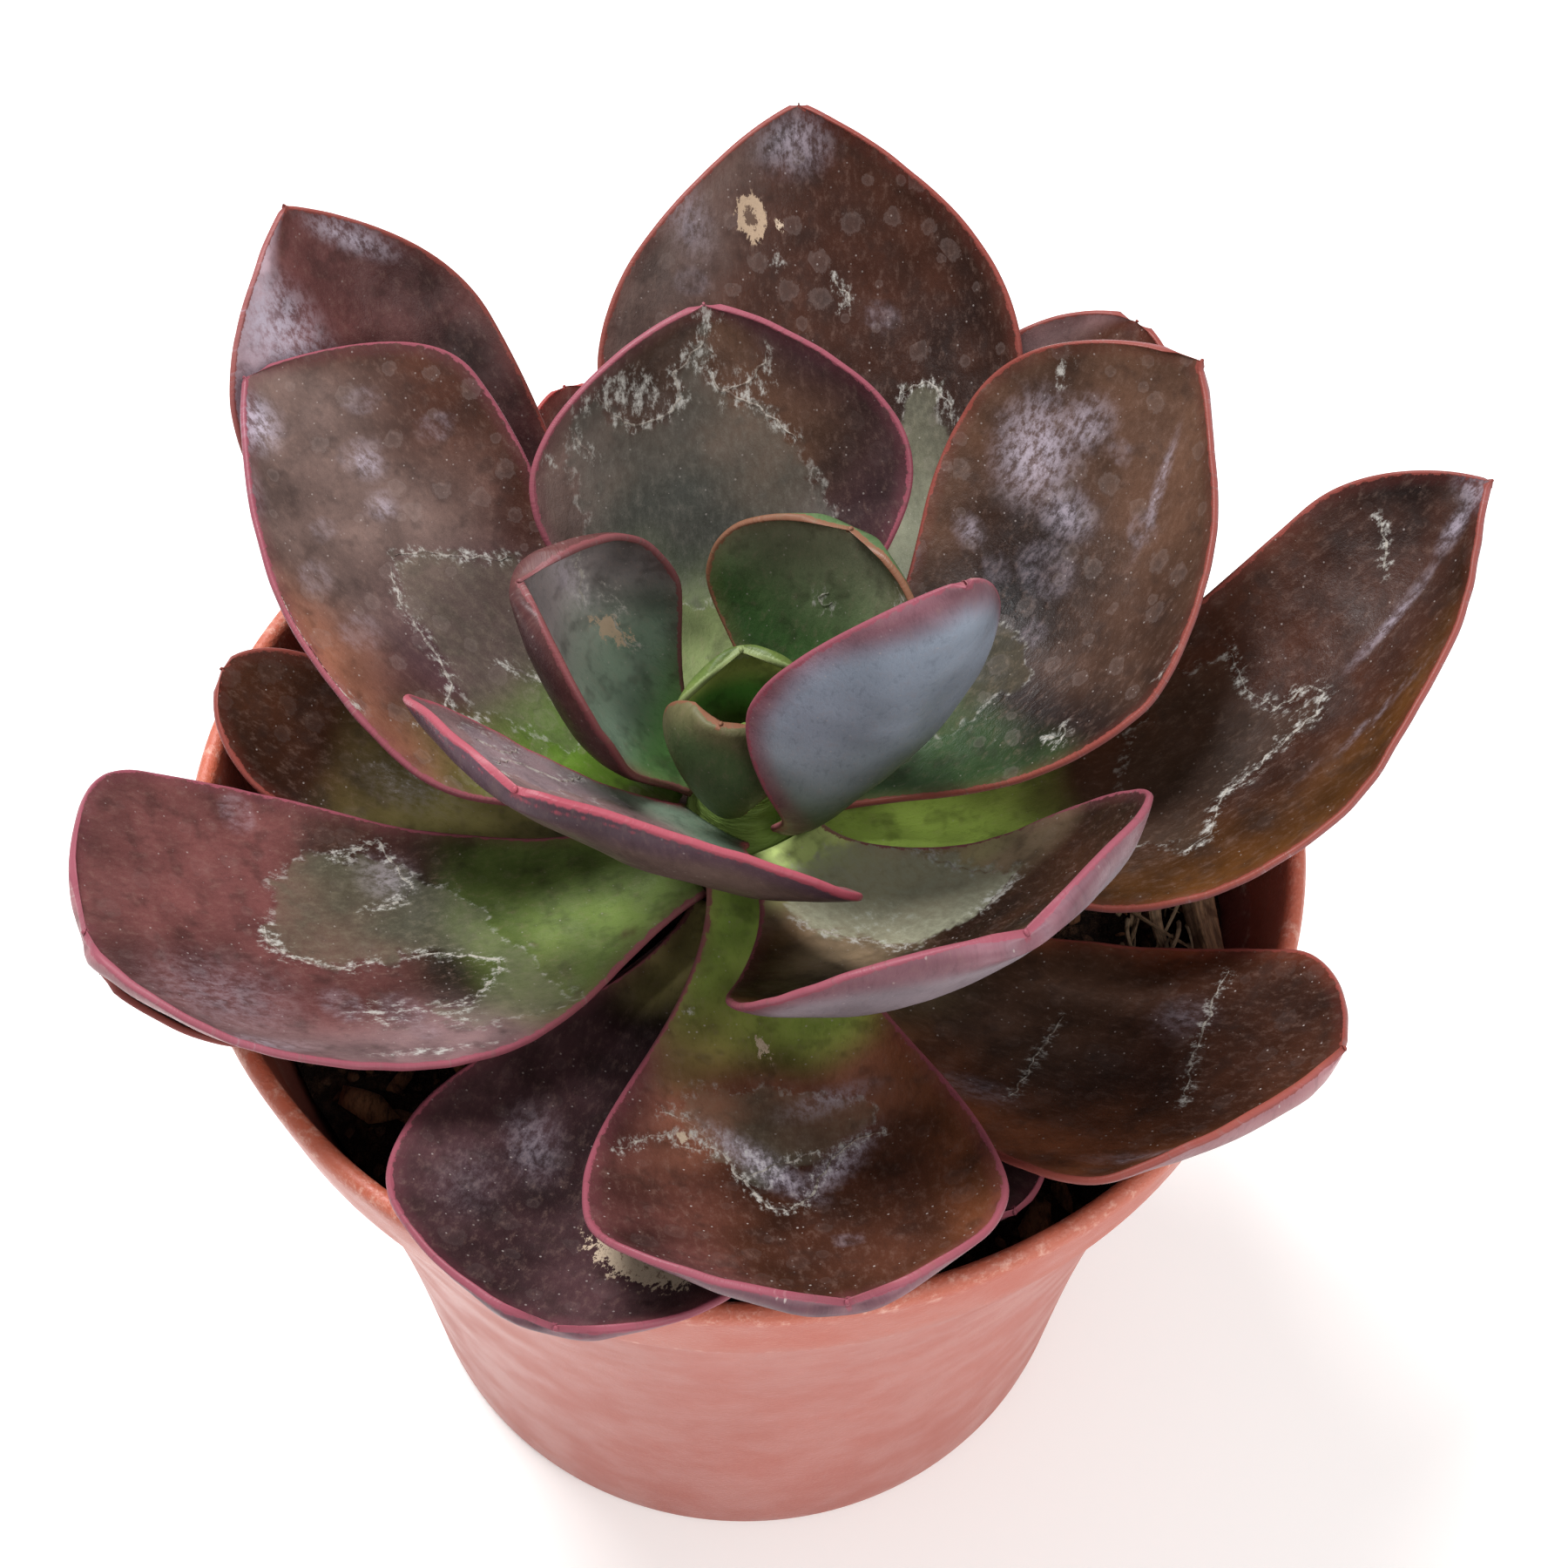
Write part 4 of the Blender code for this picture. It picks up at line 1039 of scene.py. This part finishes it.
def add_leaf(leaf, seed):
    name = "leaf_" + leaf.name
    skin = SKINS.get(leaf.name, Skin())
    upper, lower, skin_mm, along, facing = blade(leaf, *grid_size(leaf))
    upper, lower = leaf_relief(upper, lower, facing, skin_mm, seed)
    rows, columns = upper.shape[:2]
    border = perimeter(rows, columns)
    faces = shell_faces(rows, columns, border)
    tops, bottoms, places = (grid.reshape(-1, 3) for grid in (upper, lower, skin_mm))
    margin = margin_distance(tops, border, rows, columns)

    reach = np.maximum(np.abs(skin_mm[:, [0, -1], 1]).max(axis=1), 0.5)
    across = (skin_mm[..., 1] / reach[:, None]).ravel()
    along = np.repeat(along, columns)
    drift = noise_field(skin_mm, 0.07, seed).ravel()
    bands = noise_field(skin_mm * (0.3, 1.0, 0.0), 0.1, seed + 50)
    bands += 0.6 * noise_field(skin_mm, 0.26, seed + 80)
    mottle = 1.0 + MOTTLE * bands.ravel()[:, None]
    face = face_colors(skin, along, across, drift) * mottle
    back = (0.5 + 0.5 * mottle) * back_colors(skin, along, margin, drift)
    coating_and_sheen, wounds_and_shade = skin_fields(skin, places[:, :2])

    parts = [skin_part(tops, places, margin, 0.0, 0.0, face, coating_and_sheen, wounds_and_shade),
             skin_part(bottoms, places, margin, 1.0, 0.0, back)]
    for step, ring in enumerate(rim_rings(upper, lower, border), start=1):
        under = step / (RIM_STEPS + 1)
        ground = between(face[border], back[border], ramp_up(under, 0.3, 0.8))
        parts.append(skin_part(ring, places[border], margin[border], under, 0.0, ground,
                               coating_and_sheen[border], wounds_and_shade[border]))
    draw = np.random.RandomState(100 + seed)
    for line in skin.threads:
        strip, path = thread_strip(upper, facing, skin_mm, line, draw)
        faces += grid_faces(len(strip) // 3, 3, first=sum(len(part["points"]) for part in parts))
        nearest = np.abs(places[None, :, :2] - path[:, None]).sum(axis=2).argmin(axis=1)
        path = np.column_stack([path, np.zeros(len(path))])
        parts.append(skin_part(strip, path, THREAD_MARGIN, 0.0, 1.0, face[nearest]))

    fields = {label: np.concatenate([part[label] for part in parts]) for label in parts[0]}
    fields["blade_mm"] = fields["blade_mm"] + (37.0 * seed, 11.0 * seed, 0.0)
    points = fields.pop("points")
    piece(name + "_blade", points, faces, leaf_material(name, skin), leaf_slot(leaf.name), name, fields)


# Pot

def wall_radius(z):
    return BASE_RADIUS + WALL_TAPER * z + WALL_FLARE * (z / COLLAR_FOOT) ** 3


def pot_profile():
    """Outer and inner outline of the pot, from the middle of its underside to the middle of its floor."""
    underside = [(0.0, 0.0), (PAD_RADIUS - 0.6, 0.0), (PAD_RADIUS, 0.2), (PAD_RADIUS + 1.0, RECESS_TOP),
                 (FOOT_RING_INNER - 1.0, RECESS_TOP), (FOOT_RING_INNER - 0.2, 0.3), (FOOT_RING_INNER, 0.0),
                 (FOOT_RING_OUTER, 0.0), (FOOT_RING_OUTER + 0.4, 0.2), (BASE_RADIUS, 0.9)]
    outside = [(wall_radius(z), z) for z in np.linspace(*WALL_HEIGHTS, 30)]
    outside.append((wall_radius(COLLAR_FOOT) + 0.05, COLLAR_FOOT + 0.15))
    rim = [(RIM_RADIUS - inset, z) for inset, z in COLLAR_AND_RIM]
    inside = [(wall_radius(z) - WALL, z) for z in np.linspace(*INNER_HEIGHTS, 20)]
    corner = wall_radius(FLOOR_TOP) - WALL
    floor = [(corner - 1.5, FLOOR_TOP + 1.0), (corner - 3.0, FLOOR_TOP), (0.0, FLOOR_TOP)]
    return underside + outside + rim + inside + floor


def pot_material():
    """Terracotta-coloured plastic: soft flow clouds, pale scuffs with painted highlights along the collar and
    rim, fine grain.
    """
    nodes = Nodes("terracotta_plastic")
    place = nodes.place()
    height_mm = nodes.attribute("height_mm")
    clouds = nodes.noise(nodes.scaled(place, (1.0, 1.0, 0.45)), 0.035, 4.0, flat=False)
    nodes.blend(PLASTIC, nodes.ramp(clouds, 0.3, 0.7))
    nodes.lay(PLASTIC_COLLAR, nodes.ramp(height_mm, COLLAR_FOOT + 0.3, COLLAR_FOOT + 1.6))
    nodes.lay(PLASTIC_RIM, nodes.ramp(height_mm, POT_HEIGHT - 2.5, POT_HEIGHT - 0.4))
    grain = nodes.ramp(nodes.noise(place, 2.2, 3.0, 0.7, flat=False), 0.4, 0.75)
    nodes.lay(PLASTIC_GRAIN, grain, 0.12)
    scuff_and_highlight = nodes.ramp(nodes.noise(place, 0.5, 4.0, 0.75, flat=False), 0.5, 0.72)
    # pale scuffs with painted highlights along the rim top and the collar's lower edge
    nodes.lay(RIM_SCUFF_AND_HIGHLIGHT, scuff_and_highlight, nodes.near(height_mm, POT_HEIGHT - 1.0, 2.6, 0.2), 0.55)
    nodes.lay(COLLAR_SCUFF_AND_HIGHLIGHT, scuff_and_highlight, nodes.near(height_mm, COLLAR_FOOT, 1.8, 0.1), 0.75)
    scratch = nodes.noise(nodes.scaled(place, (0.25, 0.25, 2.5)), 0.9, 4.0, 0.7, flat=False)
    nodes.lay(SCRATCH, nodes.ramp(scratch, 0.62, 0.74), 0.16)
    nodes.set("Roughness", nodes.ramp(nodes.noise(place, 0.12, 3.0, flat=False), 0.3, 0.7, 0.36, 0.55))
    return nodes.finish(nodes.plus(nodes.times(grain, 0.4), nodes.noise(place, 0.25, flat=False)), 0.1)


def add_pot():
    points, faces = turned(pot_profile(), POT_SIDES)
    pot = piece("pot_shell", points, faces, pot_material(), "terracotta", "pot", {"height_mm": points[:, 2]})
    bm = bmesh.new()
    for index in range(DRAIN_HOLES):
        x, y, z = polar(DRAIN_CIRCLE, 360.0 * (index + 0.5) / DRAIN_HOLES, 0.5 * FLOOR_TOP) * MM
        radius = DRAIN_RADIUS * MM
        made = bmesh.ops.create_cone(bm, cap_ends=True, segments=32, radius1=radius, radius2=radius,
                                     depth=3.0 * FLOOR_TOP * MM)
        bmesh.ops.translate(bm, verts=made["verts"], vec=(x, y, z))
    mesh = bpy.data.meshes.new("drain_cutter")
    bm.to_mesh(mesh)
    bm.free()
    cutter = in_scene("drain_cutter", mesh)
    drains = pot.modifiers.new("drains", "BOOLEAN")
    drains.operation = "DIFFERENCE"
    drains.object = cutter
    drilled = bpy.data.meshes.new_from_object(pot.evaluated_get(bpy.context.evaluated_depsgraph_get()))
    pot.modifiers.clear()
    pot.data = drilled
    bpy.data.objects.remove(cutter, do_unlink=True)
    pot.data.shade_smooth()
    pot.data.set_sharp_from_angle(angle=math.radians(SHARP_ANGLE))


# Soil, stem and dry stalk

def soil_height(x, y):
    """Height of the top of the soil: soft humps, lower at the pot wall, with a few bark chunks."""
    reach = math.hypot(x, y) / RIM_RADIUS
    humps = math.sin(0.23 * x + 0.9) * math.cos(0.19 * y - 0.4) + 0.5 * math.sin(0.41 * y + 0.31 * x)
    height = SOIL_TOP + SOIL_RELIEF * humps - SOIL_EDGE_DROP * reach ** 4
    for chunk_x, chunk_y, radius, rise in CHUNKS:
        apart = math.hypot(x - chunk_x, y - chunk_y) / radius
        height += rise * max(0.0, 1.0 - apart ** 2)
    return height


def soil_material():
    nodes = Nodes("potting_mix", 0.95)
    place = nodes.place()
    crumbs = nodes.ramp(nodes.noise(place, 0.5, 5.0, 0.75), 0.35, 0.7)
    apart, chance = nodes.cells(place, 0.6)[:2]
    bits = nodes.times(nodes.ramp(apart, 0.5, 0.2), nodes.math("GREATER_THAN", chance, 0.8))
    nodes.blend(SOIL_MIX, crumbs)
    nodes.lay(SOIL_BITS, bits, 0.7)
    return nodes.finish(nodes.plus(crumbs, bits), 0.7, specular=0.2)


def crumb_material():
    """Bark chips and crumbs, each with its own brown."""
    nodes = Nodes("bark_crumbs", 0.9)
    shade = nodes.attribute("shade")
    fibre = nodes.noise(nodes.scaled(nodes.place(), (1.0, 0.4, 1.0)), 1.2, 4.0, 0.7)
    nodes.blend(BARK_CHIP, nodes.ramp(shade, 0.2, 0.75))
    nodes.lay(PALE_CHIP, nodes.ramp(shade, 0.84, 1.0))
    nodes.lay(CHIP_GROOVE, nodes.ramp(fibre, 0.45, 0.7), 0.6)
    return nodes.finish(fibre, 0.4, specular=0.25)


def add_soil():
    """The fill of the pot with a crumbly top, and loose crumbs and bark on it."""
    hole = STEM_PROFILE[0][0] + SOIL_GAP
    edge = wall_radius(SOIL_TOP - SOIL_EDGE_DROP - 2.0 * SOIL_RELIEF) - WALL - SOIL_GAP
    top = [(radius, SOIL_TOP) for radius in np.linspace(hole, edge, SOIL_RINGS + 1)]
    wall = [(wall_radius(z) - WALL - SOIL_GAP, z) for z in np.linspace(*SOIL_WALL, 8)]
    corner, floor = wall_radius(FLOOR_TOP) - WALL, FLOOR_TOP + SOIL_GAP
    profile = [(0.0, STEM_FOOT - SOIL_GAP), (hole, STEM_FOOT - SOIL_GAP)] + top + wall
    profile += [(corner - 1.8, floor + 1.0), (corner - 3.3, floor), (0.0, floor)]
    points, faces = turned(profile, SOIL_SIDES)
    for point in points:
        if abs(point[2] - SOIL_TOP) < 0.01:
            x, y = point[:2]
            rough = noise.fractal(Vector((0.33 * x, 0.33 * y, 0.0)), 0.8, 2.1, 5)
            point[2] = soil_height(x, y) + SOIL_GRAIN * rough - 0.35
    faces = [face[::-1] for face in faces]
    piece("soil_fill", points, faces, soil_material(), "soil", "soil")
    add_crumbs(edge - 2.2)


def chip(draw, ball, x, y, size, stretch):
    """A lumpy chip or crumb that lies on the soil."""
    sides = [draw.uniform(0.8, 1.7) * stretch, draw.uniform(0.5, 0.9), draw.uniform(0.35, 0.6)]
    shape = np.array(sides) * size
    lumps = 1.0 + 0.25 * draw.uniform(-1.0, 1.0, (len(ball), 1))
    heading = Matrix.Rotation(draw.uniform(0, 2 * math.pi), 3, "Z")
    turn = heading @ Matrix.Rotation(draw.uniform(-0.4, 0.4), 3, "X")
    placed = (ball * lumps * shape) @ np.array(turn).T
    return placed + (x, y, soil_height(x, y) + 0.25 * shape[2])


def add_crumbs(widest):
    draw = np.random.RandomState(7)
    bm = bmesh.new()
    bmesh.ops.create_icosphere(bm, subdivisions=1, radius=1.0)
    ball = np.array([vertex.co[:] for vertex in bm.verts])
    triangles = [tuple(vertex.index for vertex in face.verts) for face in bm.faces]
    bm.free()
    spots = []
    for index in range(CRUMBS):
        reach = math.sqrt(draw.uniform(0.05, 1.0)) * widest
        angle = draw.uniform(0.0, 2.0 * math.pi)
        size = draw.uniform(*(CHIP_SIZE if index < CHIPS else CRUMB_SIZE))
        spots.append((reach * math.cos(angle), reach * math.sin(angle), size, 1.0, draw.uniform(0.0, 1.0)))
    for x, y, radius, _ in CHUNKS:
        for right, back, share, stretch, shade in CHUNK_CHIPS:
            spots.append((x + right, y + back, share * radius, stretch, shade))
    points, faces = joined([(chip(draw, ball, *spot[:4]), triangles) for spot in spots])
    shades = np.repeat([spot[4] for spot in spots], len(ball))
    piece("soil_crumbs", points, faces, crumb_material(), "soil", None, {"shade": shades})


def stem_material():
    nodes = Nodes("stem_bark", 0.75)
    rings = nodes.noise(nodes.scaled(nodes.place(), (0.4, 0.4, 1.6)), 0.7, 4.0, 0.6, flat=False)
    nodes.blend(STEM_BARK, nodes.ramp(rings, 0.35, 0.7))
    nodes.lay(STEM_TOP, nodes.ramp(nodes.attribute("height_mm"), 88.0, 96.0, 0.0, 0.9))
    return nodes.finish(rings, 0.5)


def add_stem():
    foot = STEM_PROFILE[0][0]
    heights = np.linspace(STEM_PROFILE[0][1], STEM_PROFILE[-1][1], 40)
    side = [(stem_radius(z) - 0.06 + 0.06 * math.sin(3.1 * z), z) for z in heights]
    profile = [(0.0, STEM_FOOT), (foot - 0.1, STEM_FOOT), (foot, STEM_FOOT + 0.6)] + side
    profile.append((0.0, STEM_PROFILE[-1][1]))
    points, faces = turned(profile, 64)
    piece("stem_bark", points, faces, stem_material(), "stem", "stem", {"height_mm": points[:, 2]})


def stalk_material():
    """Dry fibrous bark, pale on its ridges."""
    nodes = Nodes("dry_fibres", 0.85)
    grain = nodes.noise(nodes.attribute("fibre", "Vector"), 1.0, 4.0, 0.7)
    nodes.blend(STALK_FIBRE, nodes.ramp(grain, 0.35, 0.68))
    nodes.lay(STALK_PALE, nodes.attribute("pale"), 0.7)
    nodes.lay(STALK_DARK, nodes.ramp(nodes.noise(nodes.place(), 0.6), 0.5, 0.72, 0.0, 0.5))
    return nodes.finish(grain, 0.35, specular=0.25)


def tube(path, radii, sides, ridge):
    """A closed tapered tube along a path, with lengthwise ridges; also its fibre coordinates."""
    angles = np.linspace(0.0, 2.0 * math.pi, sides, endpoint=False)
    cosines, sines = np.cos(angles)[:, None], np.sin(angles)[:, None]
    points, fibres = [], []
    for centre, way, radius, gone in zip(path, unit(np.gradient(path, axis=0)), radii, run_length(path)):
        level = unit(np.cross(way, (0.0, 0.0, 1.0)))
        upward = np.cross(level, way)
        reach = radius * (1.0 - ridge * (0.5 + 0.5 * np.sin(5.0 * angles + 0.25 * gone)))
        points.append(centre + reach[:, None] * (cosines * level + sines * upward))
        fibres.append(np.stack([np.full(sides, 0.18 * gone), 3.0 * np.cos(angles), 0 * angles], axis=-1))
    faces = grid_faces(len(path), sides, closed=True)
    faces.append(tuple(range(sides)))
    faces.append(tuple(reversed([(len(path) - 1) * sides + k for k in range(sides)])))
    return np.concatenate(points), faces, np.concatenate(fibres)


def laid(path, radii, steps):
    """A smooth run of a stalk that lies on the soil, and its radii."""
    at, knots = np.linspace(0.0, len(path) - 1.0, steps), np.arange(len(path))
    flat = read_at(at, knots, np.array(path))
    for _ in range(8):
        flat[1:-1] = 0.25 * flat[:-2] + 0.5 * flat[1:-1] + 0.25 * flat[2:]
    radius = np.interp(at, knots, radii)
    return np.column_stack([flat, SOIL_TOP + STALK_LIFT + radius]), radius


def filament(draw, index):
    """A fine dry root: its path, radii, sides, depth of ridges and paleness."""
    start = np.array([draw.uniform(*side) for side in FILAMENT_FIELD])
    heading = draw.uniform(-0.6, 0.6) + (math.pi / 2 if index % 2 else -math.pi / 2)
    length, bend = draw.uniform(*FILAMENT_LENGTH), draw.uniform(-0.9, 0.9)
    share = np.linspace(0.0, 1.0, FILAMENT_POINTS)
    turn = heading + bend * share
    flat = start + np.stack([np.cos(turn), np.sin(turn)], axis=-1) * (length * share)[:, None]
    flat *= np.minimum(1.0, FILAMENT_REACH / np.maximum(np.linalg.norm(flat, axis=1), 1.0))[:, None]
    height = SOIL_TOP + 1.2 + draw.uniform(0.2, 2.2) * np.sin(math.pi * share) + draw.uniform(0.0, 1.6)
    radii = np.linspace(*FILAMENT_RADIUS, FILAMENT_POINTS) * draw.uniform(0.8, 1.4)
    return np.column_stack([flat, height]), radii, 6, 0.0, draw.uniform(0.4, 1.0)


def add_dry_stalk():
    """The forked stalk with fine dry roots beside it."""
    draw = np.random.RandomState(21)
    stalks = [(*laid(STALK_PATH, STALK_RADII, 44), 20, 0.22, 0.2),
              (*laid(STRAND_PATH, STRAND_RADII, 30), 12, 0.2, 0.5)]
    parts, fibres, pale = [], [], []
    for *shape, paleness in stalks + [filament(draw, index) for index in range(FILAMENTS)]:
        points, faces, grain = tube(*shape)
        parts.append((points, faces))
        fibres.append(grain + (0.0, 7.0 * len(parts), 0.0))
        pale.append(np.full(len(points), paleness))
    piece("dry_stalk_fibres", *joined(parts), stalk_material(), "dry_stalk", "dry_stalk",
          {"fibre": np.concatenate(fibres), "pale": np.concatenate(pale)})


# Floor, light and camera

def add_floor():
    bpy.ops.mesh.primitive_plane_add(size=FLOOR_SIZE, location=(0.0, 0.0, 0.0))
    floor = bpy.context.object
    floor.name = "floor"
    nodes = Nodes("pale_floor", 0.8)
    nodes.set("Base Color", tint(FLOOR_WHITE))
    nodes.set("Emission Color", (1.0, 1.0, 1.0, 1.0))
    nodes.set("Emission Strength", FLOOR_GLOW)
    floor.data.materials.append(nodes.material)


def add_light(name, place, size, power, color):
    data = bpy.data.lights.new(name, "AREA")
    data.shape = "DISK"
    data.size = size
    data.energy = power
    data.color = color
    light = in_scene(name, data)
    light.location = place
    way = Vector(LIGHTS_AIM) - Vector(place)
    light.rotation_euler = way.to_track_quat("-Z", "Y").to_euler()


def add_lights():
    world = bpy.data.worlds.new("studio")
    bpy.context.scene.world = world
    world.use_nodes = True
    background = world.node_tree.nodes["Background"]
    background.inputs["Color"].default_value = SKY
    background.inputs["Strength"].default_value = SKY_STRENGTH
    for light in LIGHTS:
        add_light(*light)


def add_camera():
    elevation = math.radians(CAMERA_ELEVATION)
    rim = Vector((0.0, 0.0, POT_HEIGHT))
    eye = rim + CAMERA_DISTANCE * Vector((0.0, -math.cos(elevation), math.sin(elevation)))
    ahead = (Vector(CAMERA_AIM) - eye).normalized()
    right = ahead.cross(Vector((0.0, 0.0, 1.0))).normalized()
    upward = right.cross(ahead)
    roll = math.radians(CAMERA_ROLL)
    right, upward = (right * math.cos(roll) + upward * math.sin(roll),
                     upward * math.cos(roll) - right * math.sin(roll))
    data = bpy.data.cameras.new("camera")
    data.lens = CAMERA_LENS
    data.sensor_width = SENSOR
    data.clip_start = 0.01
    camera = in_scene("camera", data)
    turn = Matrix((right, upward, -ahead)).transposed()
    camera.matrix_world = Matrix.Translation(eye * MM) @ turn.to_4x4()
    bpy.context.scene.camera = camera


def build():
    bpy.context.scene.view_settings.view_transform = "Standard"
    add_camera()
    add_floor()
    add_lights()
    add_pot()
    add_soil()
    add_stem()
    add_dry_stalk()
    for seed, leaf in enumerate(LEAVES, start=1):
        add_leaf(leaf, seed)


build()
